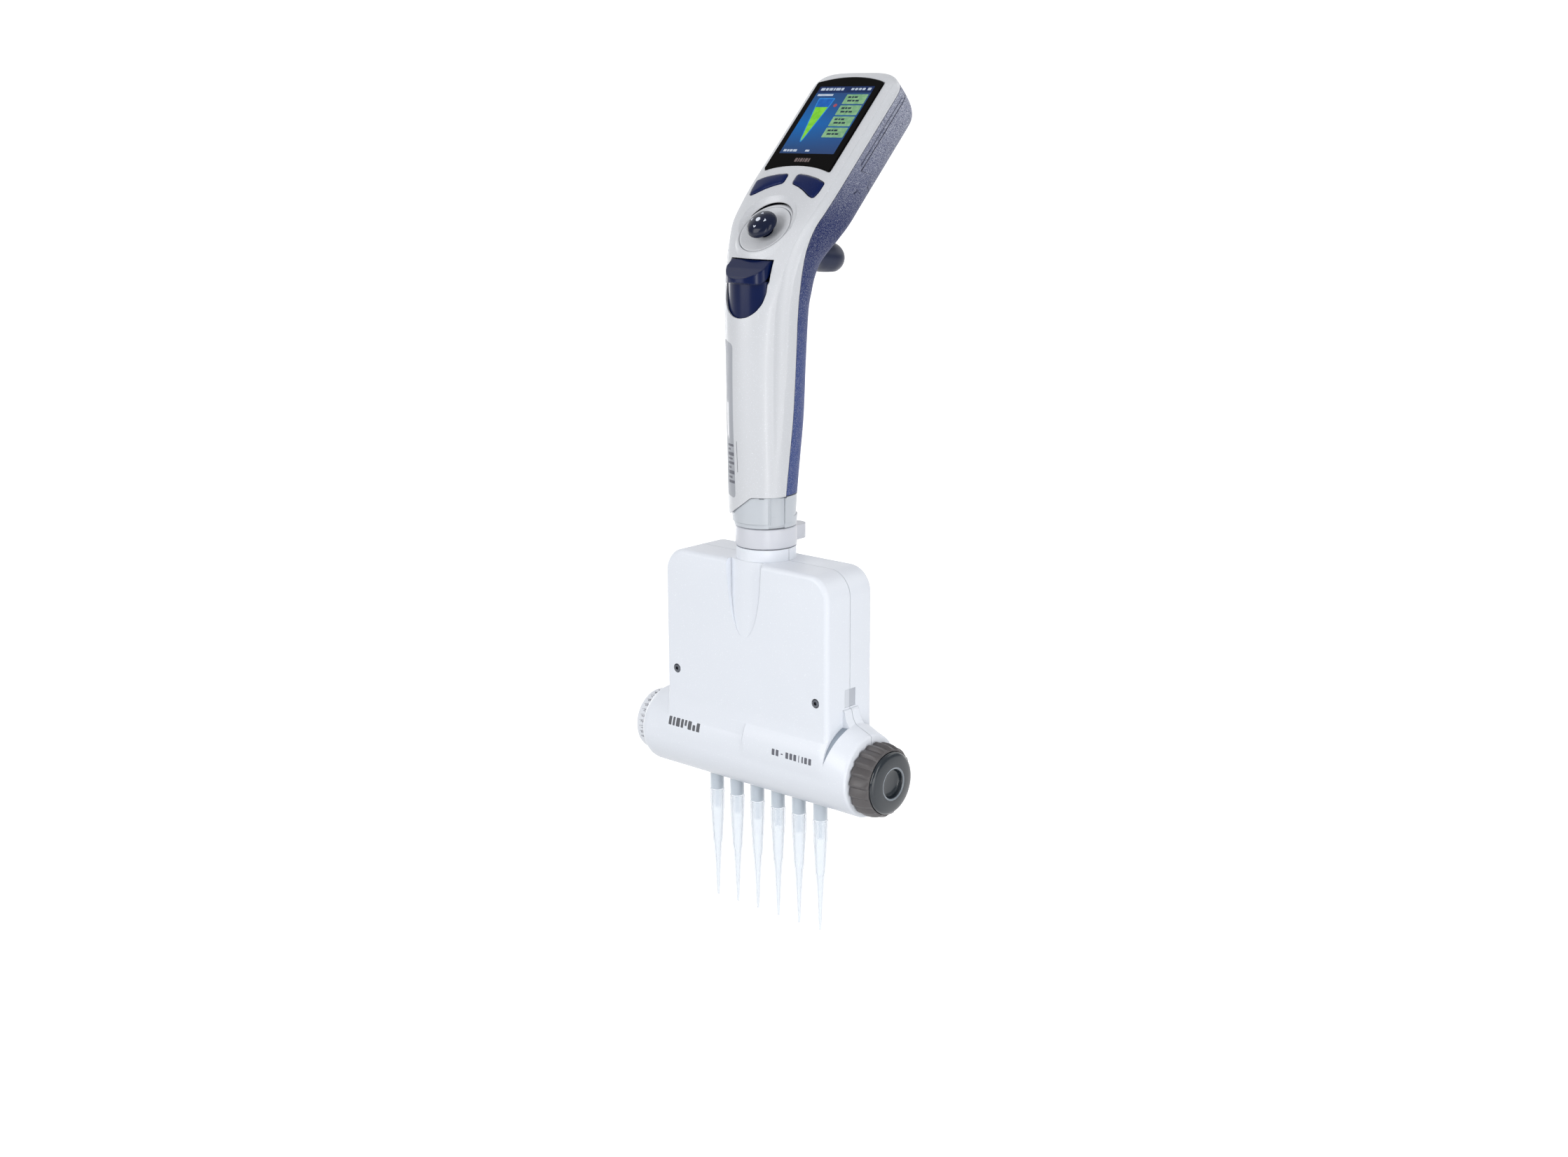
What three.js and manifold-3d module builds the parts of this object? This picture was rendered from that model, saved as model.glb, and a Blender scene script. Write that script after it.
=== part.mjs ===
// Six-channel electronic pipette: bent handle with tilted display head, on a
// rotating manifold whose six nozzles spread and close on a helical cam drum.
// Millimetres, +Z up, X along the row of nozzles, front is -Y.  Everything is
// laid out from the swivel axis of the manifold at the level of the tip points,
// and the whole group is then placed with its origin on the flat underside of
// the finger hook (HOOK_REST_Y, HOOK_REST_Z).
import * as THREE from 'three';
import { mergeVertices } from 'three/addons/utils/BufferGeometryUtils.js';
import Module from 'manifold-3d';

const wasm = await Module();
wasm.setup();

// ---------------------------------------------------------------- dimensions
const GAP = 0.3;                 // clearance between neighbouring pieces
const WALL = 1.8;                // moulded wall thickness

const PITCH = 12;                // nozzle spacing at rest
const TIP_LENGTH = 50;
const TIP_COLLAR_R = 3.3;
const CHANNELS = 6;

const BOX_HALF_X = 45.8;         // manifold housing
const BOX_HALF_Y = 14.4;
const BOX_TOP_Z = 160;
const BOX_CORNER_R = 10.5;       // top corners of the housing seen from the front
const BARREL_Z = 75.2;           // axis of barrel, cam drum, knob and dial
const BARREL_R = 16.9;
const BARREL_X0 = -61.5;
const BARREL_X1 = 57.4;
const FLARE = 3.4;               // extra radius of the shoulders beside the box
const DRUM_R = 7;
const GROOVE_R = 5.5;
const TURN_PER_MM = 30;          // knob degrees for one millimetre of spacing

const COLLAR_R = 12.9;           // swivel collar
const COLLAR_Z0 = 165.4;
const COLLAR_Z1 = 173.9;
const NOSE_TOP_Z = 187.7;

const HEAD_TILT = 44.7;          // display leans back from the vertical
const HEAD_Y = 18.84;            // middle of the display's lower edge
const HEAD_Z = 317.8;
const HEAD_HALF_X = 22.6;
const HEAD_FRONT = 6;            // parting plane to display face
const HEAD_REAR = 20.7;          // parting plane to back of the head
const HEAD_TOP_T = 58.2;

const JOY_Y = 0.1, JOY_Z = 295.4, JOY_TILT = 45;   // joystick centre and lean
const EJECT_TRAVEL = 5;
const PLUNGER_STROKE = 16;
const HOOK_REST_Y = 37.5;        // middle of the hook's flat underside
const HOOK_REST_Z = 276;

// ------------------------------------------------------------------- helpers
const rad = THREE.MathUtils.degToRad;

function solid(geometry) {
  const g = geometry.clone();
  g.deleteAttribute('normal');
  g.deleteAttribute('uv');
  const m = mergeVertices(g, 1e-4);
  const p = new Float32Array(m.attributes.position.array);
  const t = new Uint32Array(m.index.array);
  let v = 0;
  for (let i = 0; i < t.length; i += 3) {
    const [a, b, c] = [t[i] * 3, t[i + 1] * 3, t[i + 2] * 3];
    v += p[a] * (p[b + 1] * p[c + 2] - p[b + 2] * p[c + 1])
       - p[a + 1] * (p[b] * p[c + 2] - p[b + 2] * p[c])
       + p[a + 2] * (p[b] * p[c + 1] - p[b + 1] * p[c]);
  }
  if (v < 0) for (let i = 0; i < t.length; i += 3) [t[i], t[i + 1]] = [t[i + 1], t[i]];
  return new wasm.Manifold(new wasm.Mesh({ numProp: 3, vertProperties: p, triVerts: t }));
}

const AX = {
  z: new THREE.Matrix4().makeRotationX(Math.PI / 2),
  y: new THREE.Matrix4(),
  x: new THREE.Matrix4().makeRotationZ(-Math.PI / 2),
};

// straight or tapered round bar between a and b on one axis
function bar(axis, r, a, b, u = 0, v = 0, r2 = r, seg = 20) {
  const g = new THREE.CylinderGeometry(axis === 'z' ? r2 : r2, r, b - a, seg);
  g.applyMatrix4(AX[axis]);
  const m = (a + b) / 2;
  if (axis === 'z') g.translate(u, v, m);
  if (axis === 'x') g.translate(m, u, v);
  if (axis === 'y') g.translate(u, m, v);
  return solid(g);
}

function block(x0, x1, y0, y1, z0, z1) {
  const g = new THREE.BoxGeometry(x1 - x0, y1 - y0, z1 - z0);
  g.translate((x0 + x1) / 2, (y0 + y1) / 2, (z0 + z1) / 2);
  return solid(g);
}

// turned shape: profile of [radius, height] pairs, closed on itself or on the axis
function turned(profile, seg = 24, matrix = null, closed = true) {
  const pts = profile.map(([r, z]) => new THREE.Vector2(r, z));
  const onAxis = profile[0][0] === 0 && profile[profile.length - 1][0] === 0;
  if (closed && !onAxis) pts.push(pts[0].clone());
  const g = new THREE.LatheGeometry(pts, seg);
  g.rotateX(Math.PI / 2);
  if (matrix) g.applyMatrix4(matrix);
  return solid(g);
}

// outline in the local XY plane, raised along local +Z from z0 to z1
function prism(outline, z0, z1, matrix = null) {
  const s = new THREE.Shape(outline.map(([x, y]) => new THREE.Vector2(x, y)));
  const g = new THREE.ExtrudeGeometry(s, { depth: z1 - z0, bevelEnabled: false, curveSegments: 6 });
  g.translate(0, 0, z0);
  if (matrix) g.applyMatrix4(matrix);
  return solid(g);
}

// closed skin over rings of equal point count
function skin(rings) {
  const n = rings[0].length, pos = [], idx = [];
  for (const r of rings) for (const p of r) pos.push(p.x, p.y, p.z);
  for (let i = 0; i < rings.length - 1; i++) {
    for (let j = 0; j < n; j++) {
      const a = i * n + j, b = i * n + (j + 1) % n, c = a + n, d = b + n;
      idx.push(a, b, d, a, d, c);
    }
  }
  for (const [k, flip] of [[0, true], [rings.length - 1, false]]) {
    const c = new THREE.Vector3();
    rings[k].forEach((p) => c.add(p));
    c.divideScalar(n);
    const ci = pos.length / 3;
    pos.push(c.x, c.y, c.z);
    for (let j = 0; j < n; j++) {
      const a = k * n + j, b = k * n + (j + 1) % n;
      if (flip) idx.push(ci, b, a); else idx.push(ci, a, b);
    }
  }
  const g = new THREE.BufferGeometry();
  g.setAttribute('position', new THREE.Float32BufferAttribute(pos, 3));
  g.setIndex(idx);
  return solid(g);
}

// local frame: x across, y along the second axis, z along the outward normal
function frame(oy, oz, tiltDeg) {
  const a = rad(tiltDeg);
  const m = new THREE.Matrix4().makeBasis(
    new THREE.Vector3(1, 0, 0),
    new THREE.Vector3(0, Math.sin(a), Math.cos(a)),
    new THREE.Vector3(0, -Math.cos(a), Math.sin(a)));
  m.setPosition(0, oy, oz);
  return m;
}
const HEAD = frame(HEAD_Y, HEAD_Z, HEAD_TILT);   // local (x, t, n)
const JOY = frame(JOY_Y, JOY_Z, JOY_TILT);
const SIDE = new THREE.Matrix4().makeBasis(      // outline in (y, z), raised along +X
  new THREE.Vector3(0, 1, 0), new THREE.Vector3(0, 0, 1), new THREE.Vector3(1, 0, 0));
const FRONT = new THREE.Matrix4().makeBasis(     // outline in (x, z), raised towards -Y
  new THREE.Vector3(1, 0, 0), new THREE.Vector3(0, 0, 1), new THREE.Vector3(0, -1, 0));

const root = new THREE.Group();
let mats = 0;
function add(name, body, color, roughness = 0.5, metalness = 0) {
  const mesh = body.getMesh();
  const g = new THREE.BufferGeometry();
  g.setAttribute('position', new THREE.BufferAttribute(new Float32Array(mesh.vertProperties), 3));
  g.setIndex(new THREE.BufferAttribute(new Uint32Array(mesh.triVerts), 1));
  const m = new THREE.Mesh(g, new THREE.MeshStandardMaterial({ color, roughness, metalness }));
  m.name = name;
  m.material.name = `material_${mats++}`;
  root.add(m);
  return m;
}

// -------------------------------------------------------------- handle skin
// Each station gives three points in the middle plane, [y, z]: the parting
// line, the front and the back; then the half width and the two roundness
// exponents of the front and back halves.
function headPoint(t, n) {
  const a = rad(HEAD_TILT);
  return [HEAD_Y + t * Math.sin(a) - n * Math.cos(a), HEAD_Z + t * Math.cos(a) + n * Math.sin(a)];
}
const STATIONS = [
  [[-3.6, 174], [-15.0, 174], [11.4, 174], 13.8, 2.1, 2.1],
  [[-3.3, 188], [-15.3, 188], [12.5, 188], 14.2, 2.1, 2.1],
  [[-1.9, 203], [-15.7, 203], [14.0, 203], 14.8, 2.1, 2.1],
  [[-0.2, 220], [-16.2, 220], [15.6, 220], 15.4, 2.1, 2.1],
  [[1.0, 242], [-16.3, 242], [16.4, 242], 15.9, 2.1, 2.1],
  [[1.0, 262], [-15.8, 262], [17.4, 262], 17.0, 2.1, 2.1],
  [[1.3, 272], [-13.7, 272], [18.3, 269], 17.9, 2.2, 2.2],
  [[1.6, 279], [-11.0, 279.4], [19.3, 274.5], 18.8, 2.3, 2.3],
  [[2.1, 285], [-7.4, 286], [20.6, 279], 19.8, 2.5, 2.5],
  [[3.4, 290.5], [-3.2, 292.8], [22.4, 282.3], 20.8, 2.8, 2.8],
  [[6.4, 296.4], [0.9, 298.8], [24.7, 285.4], 21.7, 3.2, 3.2],
  [headPoint(-16, -6), headPoint(-16, -0.12), headPoint(-14.5, -26.6), 22.3, 3.6, 3.6],
  [headPoint(-6, -6), headPoint(-6, 0), headPoint(-6.5, -26.7), 22.6, 4, 4],
  [headPoint(6, -6), headPoint(6, 0), headPoint(6, -26.7), 22.6, 4, 4],
  [headPoint(44, -6), headPoint(44, 0), headPoint(44, -26.7), 22.6, 4, 4],
];
const TOP_STEPS = [47.5, 51, 54.6, 57, 58.1];

function hermite(a, b, c, d, t) {            // Catmull-Rom through b and c
  return 0.5 * ((2 * b) + (-a + c) * t + (2 * a - 5 * b + 4 * c - d) * t * t
    + (-a + 3 * b - 3 * c + d) * t * t * t);
}
function stationAt(u) {
  const n = STATIONS.length, i = Math.min(Math.floor(u), n - 2), t = u - i;
  const at = (k) => STATIONS[Math.max(0, Math.min(n - 1, k))];
  const flat = (s) => [...s[0], ...s[1], ...s[2], s[3], s[4], s[5]];
  const [a, b, c, d] = [at(i - 1), at(i), at(i + 1), at(i + 2)].map(flat);
  // a straight run keeps its neighbours' line
  const straight = (i === n - 2);
  const v = b.map((_, k) => straight ? b[k] + (c[k] - b[k]) * t : hermite(a[k], b[k], c[k], d[k], t));
  return { s: [v[0], v[1]], f: [v[2], v[3]], b: [v[4], v[5]], a: v[6], pf: v[7], pr: v[8] };
}
function ring(st, inset, half) {
  const out = [], { s, f, b } = st;
  const lf = Math.hypot(f[0] - s[0], f[1] - s[1]), lb = Math.hypot(b[0] - s[0], b[1] - s[1]);
  const kf = (lf - inset) / lf, kb = (lb - inset) / lb, a = st.a - inset;
  for (let j = 0; j < 2 * half; j++) {
    const ang = Math.PI * j / half, c = Math.cos(ang), q = Math.sin(ang);
    const p = q >= 0 ? st.pf : st.pr;
    const x = a * Math.sign(c) * Math.pow(Math.abs(c), 2 / p);
    const w = Math.pow(Math.abs(q), 2 / p) * (q >= 0 ? kf : kb);
    const e = q >= 0 ? f : b;
    out.push(new THREE.Vector3(x, s[0] + (e[0] - s[0]) * w, s[1] + (e[1] - s[1]) * w));
  }
  return out;
}
function handleSkin(inset, half, sub) {
  const rings = [];
  const last = STATIONS.length - 1;
  for (let i = 0; i < last; i++) {
    const m = (i >= 5 && i <= 11) ? sub : 1;
    for (let k = 0; k < m; k++) rings.push(ring(stationAt(i + k / m), inset, half));
  }
  rings.push(ring(stationAt(last), inset, half));
  const top = HEAD_TOP_T - inset;
  for (const t0 of TOP_STEPS) {
    const t = t0 * (top - 44) / (HEAD_TOP_T - 44) + 44 * (1 - (top - 44) / (HEAD_TOP_T - 44));
    const e = (from, p) => t <= from ? 1 : Math.pow(Math.max(0, 1 - Math.pow((t - from) / (top - from), p)), 1 / p);
    const st = {
      s: headPoint(t, -6),
      f: headPoint(t, -6 + (6 - inset) * e(50, 2.5)),
      b: headPoint(t, -6 - (HEAD_REAR - inset) * e(48, 2.5)),
      a: (HEAD_HALF_X - inset) * e(45, 3.2), pf: 4, pr: 4,
    };
    rings.push(ring(st, 0, half));
  }
  return skin(rings);
}
const OUTER = handleSkin(0, 10, 2);
const INNER = handleSkin(WALL, 7, 1);

// parting curve of the two handle shells, in (y, z)
const seam = [];
for (let u = 0; u <= STATIONS.length - 1 + 1e-9; u += 0.5) seam.push(stationAt(u).s);
seam.push(headPoint(62, -6));
const seamAt = (d) => seam.map(([y, z], i) => {
  const p = seam[Math.max(0, i - 1)], q = seam[Math.min(seam.length - 1, i + 1)];
  const l = Math.hypot(q[0] - p[0], q[1] - p[1]);
  return [y - (q[1] - p[1]) / l * d, z + (q[0] - p[0]) / l * d];   // d > 0: to the front
});
const frontSide = prism([[-60, 150], ...[[seamAt(0.15)[0][0], 150]], ...seamAt(0.15), [-60, 400]].map((p) => p), -40, 40, SIDE);
const rearSide = prism([...seamAt(-0.15).slice().reverse(), [seamAt(-0.15)[0][0], 150], [120, 150], [120, 380]], -40, 40, SIDE);
const SHELL = OUTER.subtract(INNER);

// lower lip of the front shell: level at the sides, a tongue at the front left
const VIEW = new THREE.Matrix4().makeBasis(
  new THREE.Vector3(Math.cos(rad(41.7)), Math.sin(rad(41.7)), 0), new THREE.Vector3(0, 0, 1),
  new THREE.Vector3(Math.sin(rad(41.7)), -Math.cos(rad(41.7)), 0));
const lip = (d) => prism([[-40, 150], [40, 150], [40, 188 - d], [-6.8, 187.6 - d], [-12.2, 182.2 - d],
  [-14, 180.4 - d], [-17, 179.5 - d], [-40, 179.5 - d]], -40, 40, VIEW);

// display recess and opening
const arch = (w, b, t, rise, n = 6) => {
  const pts = [];
  for (let i = 0; i <= n; i++) { const x = -w + 2 * w * i / n; pts.push([x, b + rise * (1 - (x / w) ** 2)]); }
  for (let i = 0; i <= n; i++) { const x = w - 2 * w * i / n; pts.push([x, t + rise * (1 - (x / w) ** 2)]); }
  return pts;
};
const KEY = [[2.2, -1.3], [8, -2.0], [14, -3.4], [18.6, -5.2], [18.4, -10.2], [17.4, -14.0], [14.4, -12.9], [10, -10.2], [6.5, -8.5], [2.2, -7.0]];
const grow = (pts, d) => {
  const c = pts.reduce((s, p) => [s[0] + p[0] / pts.length, s[1] + p[1] / pts.length], [0, 0]);
  return pts.map(([x, y]) => { const l = Math.hypot(x - c[0], y - c[1]); return [x + (x - c[0]) / l * d, y + (y - c[1]) / l * d]; });
};
const mirror = (pts) => pts.map(([x, y]) => [-x, y]).reverse();
const buttonMouth = [[-10.8, 283.8], [10.8, 283.8], [11, 278], [11, 271], [10, 266.8], [7.6, 263.4], [4.2, 261.2], [0, 260.5],
  [-4.2, 261.2], [-7.6, 263.4], [-10, 266.8], [-11, 271], [-11, 278]];

// low boss that carries the lower edge of the joystick ring
const boss = bar('z', 15.4, -3.2, 0.1, 0, 0, 12.7, 28).transform(JOY.elements);
let frontShell = SHELL.intersect(frontSide).add(boss)
  .subtract(lip(0))
  .subtract(prism(arch(17.9, -0.1, 49.8, 2.8), -1.3, 6, HEAD))
  .subtract(prism([[-16.5, 3], [16.5, 3], [16.5, 48.4], [-16.5, 48.4]], -6, 2, HEAD))
  .subtract(prism(KEY.slice().reverse(), -5.9, 3, HEAD))
  .subtract(prism(mirror(KEY).slice().reverse(), -5.9, 3, HEAD))
  .subtract(bar('z', 12, -7, 8, 0, 0, 12, 20).transform(JOY.elements))
  .subtract(bar('z', 12.1, -0.5, 4.4, 0, 0, 17, 20).transform(JOY.elements))
  .subtract(prism(buttonMouth.slice().reverse(), 3, 30, FRONT))
  .subtract(bar('z', 15.3, 248, 284, 0, 0, 15.3, 36).intersect(block(-11.5, 11.5, -20, -5, 248, 284)));
add('front_shell', frontShell, '#dcdee4', 0.35);

// rear shell with the openings for battery door, hook stem and trigger
const doorPrism = (g) => prism([[10.5 - g, -10.7 + g], [14, -17 - g > -17 ? -17 : -17], [9.5 - g, -18.5], [9.5 - g, -40], [70, -40], [70, -10.7 + g]]
  .map((p) => p), -30, 30, new THREE.Matrix4().multiplyMatrices(HEAD, new THREE.Matrix4().makeBasis(
  new THREE.Vector3(0, 1, 0), new THREE.Vector3(0, 0, 1), new THREE.Vector3(1, 0, 0))));
const rearFull = SHELL.intersect(rearSide);
const TRIG = [[-6.6, 245.6], [6.6, 245.6], [6.6, 271.4], [-6.6, 271.4]];
const rearSlot = new THREE.Matrix4().makeBasis(
  new THREE.Vector3(-1, 0, 0), new THREE.Vector3(0, 0, 1), new THREE.Vector3(0, 1, 0));
let rearShell = rearFull
  .subtract(block(-30, 30, -10, 40, 150, 188))
  .subtract(doorPrism(GAP))
  .subtract(bar('y', 4.4, 10, 40, 0, 283, 4.4, 20))
  .subtract(prism(grow(TRIG, 0.5), 6, 30, rearSlot));
add('rear_shell', rearShell, '#4a5080', 0.45, 0.2);
add('battery_door', rearFull.intersect(doorPrism(0)), '#4a5080', 0.45, 0.2);

add('trigger', handleSkin(-1.0, 8, 1).subtract(handleSkin(1.4, 8, 1)).intersect(rearSide)
  .intersect(prism(TRIG, 6, 30, rearSlot)), '#1b2450', 0.3);

// finger hook: stem through the back, then a rounded paddle
{
  const rings = [];
  const prof = [[26.6, 6.2, 4.6, 0], [29.5, 6.6, 5.0, -0.2], [33, 7.4, 6.0, -0.7], [37.4, 8.0, 6.9, -1.1], [41.2, 7.3, 6.3, -1.3], [43.8, 5.4, 4.8, -1.4], [45.4, 2.8, 2.5, -1.5]];
  for (const [y, a, c, dz] of prof) {
    const r = [];
    for (let j = 0; j < 14; j++) { const an = 2 * Math.PI * j / 14; r.push(new THREE.Vector3(a * Math.cos(an), y, 283 + dz + c * Math.sin(an))); }
    rings.push(r);
  }
  add('finger_hook', skin(rings).add(bar('y', 4.0, 16.6, 27.5, 0, 283, 4.0, 20))
    .subtract(block(-12, 12, 20, 50, 265, HOOK_REST_Z)), '#23283c', 0.4);
}

// ---------------------------------------------------------- display and keys
add('display_window', prism(arch(17.6, 0.2, 49.5, 2.8), -1.0, 0.05, HEAD), '#0a0a0c', 0.1);
add('display_module', prism([[-16.2, 3.3], [16.2, 3.3], [16.2, 48.1], [-16.2, 48.1]], -5.2, -1.35, HEAD), '#1d6fd0', 0.3);
add('main_board', prism([[-18, -4], [18, -4], [18, 50], [-18, 50]], -7.8, -6.2, HEAD), '#1e6b3a', 0.6);
add('battery_pack', prism([[-15, 14], [15, 14], [15, 48], [-15, 48]], -22.2, -11.5, HEAD), '#3a3d45', 0.6);
{
  const proud = handleSkin(-0.4, 9, 1);
  add('soft_key_right', proud.intersect(prism(grow(KEY, -0.35).slice().reverse(), -4.6, 3, HEAD)), '#141c50', 0.3);
  add('soft_key_left', proud.intersect(prism(grow(mirror(KEY), -0.35).slice().reverse(), -4.6, 3, HEAD)), '#141c50', 0.3);
}
add('joystick_dish', turned([[3.4, -2.15], [8.2, -2.0], [9.2, -2.7], [11.7, -2.7], [11.7, 0], [9.8, -0.8], [7.6, -1.3], [3.4, -1.55]], 24, JOY), '#e4e6ea', 0.35);
add('joystick_cap', turned([[0, -6.4], [2, -6.4], [2, 1.3], [6.1, 1.3], [6.6, 2.0], [6.5, 3.2], [5.5, 4.6], [3.2, 5.5], [0, 5.8]], 20, JOY), '#1b2450', 0.3);
{
  const pins = bar('x', 1.1, 6.2, 8.2, 0, 0, 1.1, 10).add(bar('x', 1.1, -8.2, -6.2, 0, 0, 1.1, 10));
  const m = new THREE.Matrix4().makeTranslation(0, 0, -4.4);
  const ringG = turned([[4.2, -5.8], [6.6, -5.8], [6.6, -3.5], [4.2, -3.5]], 20)
    .add(pins.transform(m.elements));
  add('joystick_gimbal', ringG.transform(JOY.elements), '#b9bcc2', 0.4);
}

// ---------------------------------------------------------- ejector (thumb)
{
  const ledge = prism([[-8.2, 283.5], [-12.2, 280.6], [-16.6, 278.4], [-17.7, 277.6], [-17.7, 276.2], [-15.2, 274.8],
    [-13.0, 274.8], [-9.6, 277.4], [-7.0, 280.6], [-6.8, 283.5]], -10.5, 10.5, SIDE)
    .intersect(bar('z', 11.8, 270, 295, 0, -5.9, 11.8, 40));
  const skirt = bar('z', 15.0, 254.6, 275.4, 0, 0, 15.0, 36).subtract(bar('z', 12.8, 250, 280, 0, 0, 12.8, 36))
    .intersect(block(-10.5, 10.5, -20, -7.6, 254.6, 275.4));
  add('ejector_button', skirt.add(ledge), '#1b2a66', 0.2);
  const m = new THREE.Matrix4();
  const tube = turned([[5.2, 158], [7.2, 158], [7.2, 199], [8.8, 199], [8.8, 201], [5.2, 201]], 24);
  const arm = block(-1.6, 1.6, -12.4, -8, 199, 201).add(block(-1.6, 1.6, -12.4, -10.4, 199, 262));
  add('ejector_rod', tube.add(arm), '#a9adb5', 0.35, 0.8);
  // return spring between nose and flange
  const turns = 4, n = 40, pts = [];
  for (let i = 0; i <= n; i++) { const a = 2 * Math.PI * turns * i / n; pts.push(new THREE.Vector3(8.2 * Math.cos(a), 8.2 * Math.sin(a), 188.7 + 9.4 * i / n)); }
  const curve = new THREE.CatmullRomCurve3(pts);
  const sec = new THREE.Shape();
  for (let i = 0; i < 4; i++) { const a = Math.PI * i / 2; if (i) sec.lineTo(0.5 * Math.cos(a), 0.5 * Math.sin(a)); else sec.moveTo(0.5, 0); }
  add('ejector_spring', solid(new THREE.ExtrudeGeometry(sec, { steps: 44, extrudePath: curve, bevelEnabled: false })), '#c8ccd2', 0.25, 1);
}

// ------------------------------------------------------------- drive in grip
add('drive_motor', bar('z', 10, 205.4, 243, 0, 1, 10, 28).add(bar('z', 1.2, 243, 247, 0, 1, 1.2, 10)), '#8e9299', 0.35, 0.9);
add('drive_screw', bar('z', 2.4, 178.2, 204.0, 0, 0, 2.4, 16).add(bar('z', 1.2, 203.5, 205.0, 0, 0, 1.2, 12)), '#c2c6cc', 0.25, 1);
{
  const plate = bar('z', 11.6, 202, 204.6, 0, -1, 11.6, 20).subtract(bar('z', 3.0, 200, 206, 0, 0, 3.0, 16))
    .subtract(block(-2.2, 2.2, -14, -9.8, 200, 206));
  const legs = block(-12.2, -10.6, -4, 2.4, 203, 240).add(block(10.6, 12.2, -4, 2.4, 203, 240));
  const feet = block(-11.4, -10.0, -5, 1, 188.1, 203).add(block(10.0, 11.4, -5, 1, 188.1, 203));
  add('inner_chassis', plate.add(legs).add(feet), '#70757e', 0.5, 0.6);
}
add('plunger_rod', turned([[0, 147.4], [2.5, 147.4], [2.5, 174], [4.6, 175], [4.6, 200], [2.75, 200], [2.75, 177], [0, 177]], 20), '#c2c6cc', 0.25, 1);

// nose: lower end of the handle, with the spigot the manifold turns on
{
  const noseOuter = handleSkin(0, 10, 1).intersect(block(-30, 30, -30, 30, 176.2, NOSE_TOP_Z));
  const upper = bar('z', 13.0, 174.3, 178.6, 0, -0.4, 13.3, 28).add(noseOuter.intersect(bar('z', 13.4, 174, 190, 0, -0.9, 13.9, 28)))
    .intersect(block(-30, 30, -30, 30, 174.3, NOSE_TOP_Z).intersect(lip(GAP)));
  let nose = upper.add(bar('z', 9.1, 160.6, 176, 0, 0, 9.1, 28)).subtract(bar('z', 7.6, 150, 200, 0, 0, 7.6, 28))
    .subtract(bar('z', 11.4, 180.2, 200, 0, -0.4, 11.4, 28));
  nose = nose.subtract(block(-4.5, 4.5, 9.5, 20, 176.0, 181.4));
  add('nose_piece', nose.add(bar('z', 9.2, 178.6, 187.7, 0, 0, 9.2, 24).subtract(bar('z', 7.6, 170, 190, 0, 0, 7.6, 28))
    .add(block(-11.2, -8.4, -1.2, 1.2, 178.6, 187.7)).add(block(8.4, 11.2, -1.2, 1.2, 178.6, 187.7))), '#e6e9ee', 0.3);
  add('latch_tab', block(-4.1, 4.1, 10.2, 14.2, 176.4, 181.0), '#dfe2e8', 0.35);
}
for (const [k, x] of [[1, 11.35], [2, -11.35]]) {
  add(`shell_screw_${k}`, bar('y', 1.1, -5.5, 5, x, 246, 1.1, 8).add(bar('y', 1.7, 4.6, 6.2, x, 246, 1.7, 10)), '#9a9ca0', 0.3, 1);
}

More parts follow.
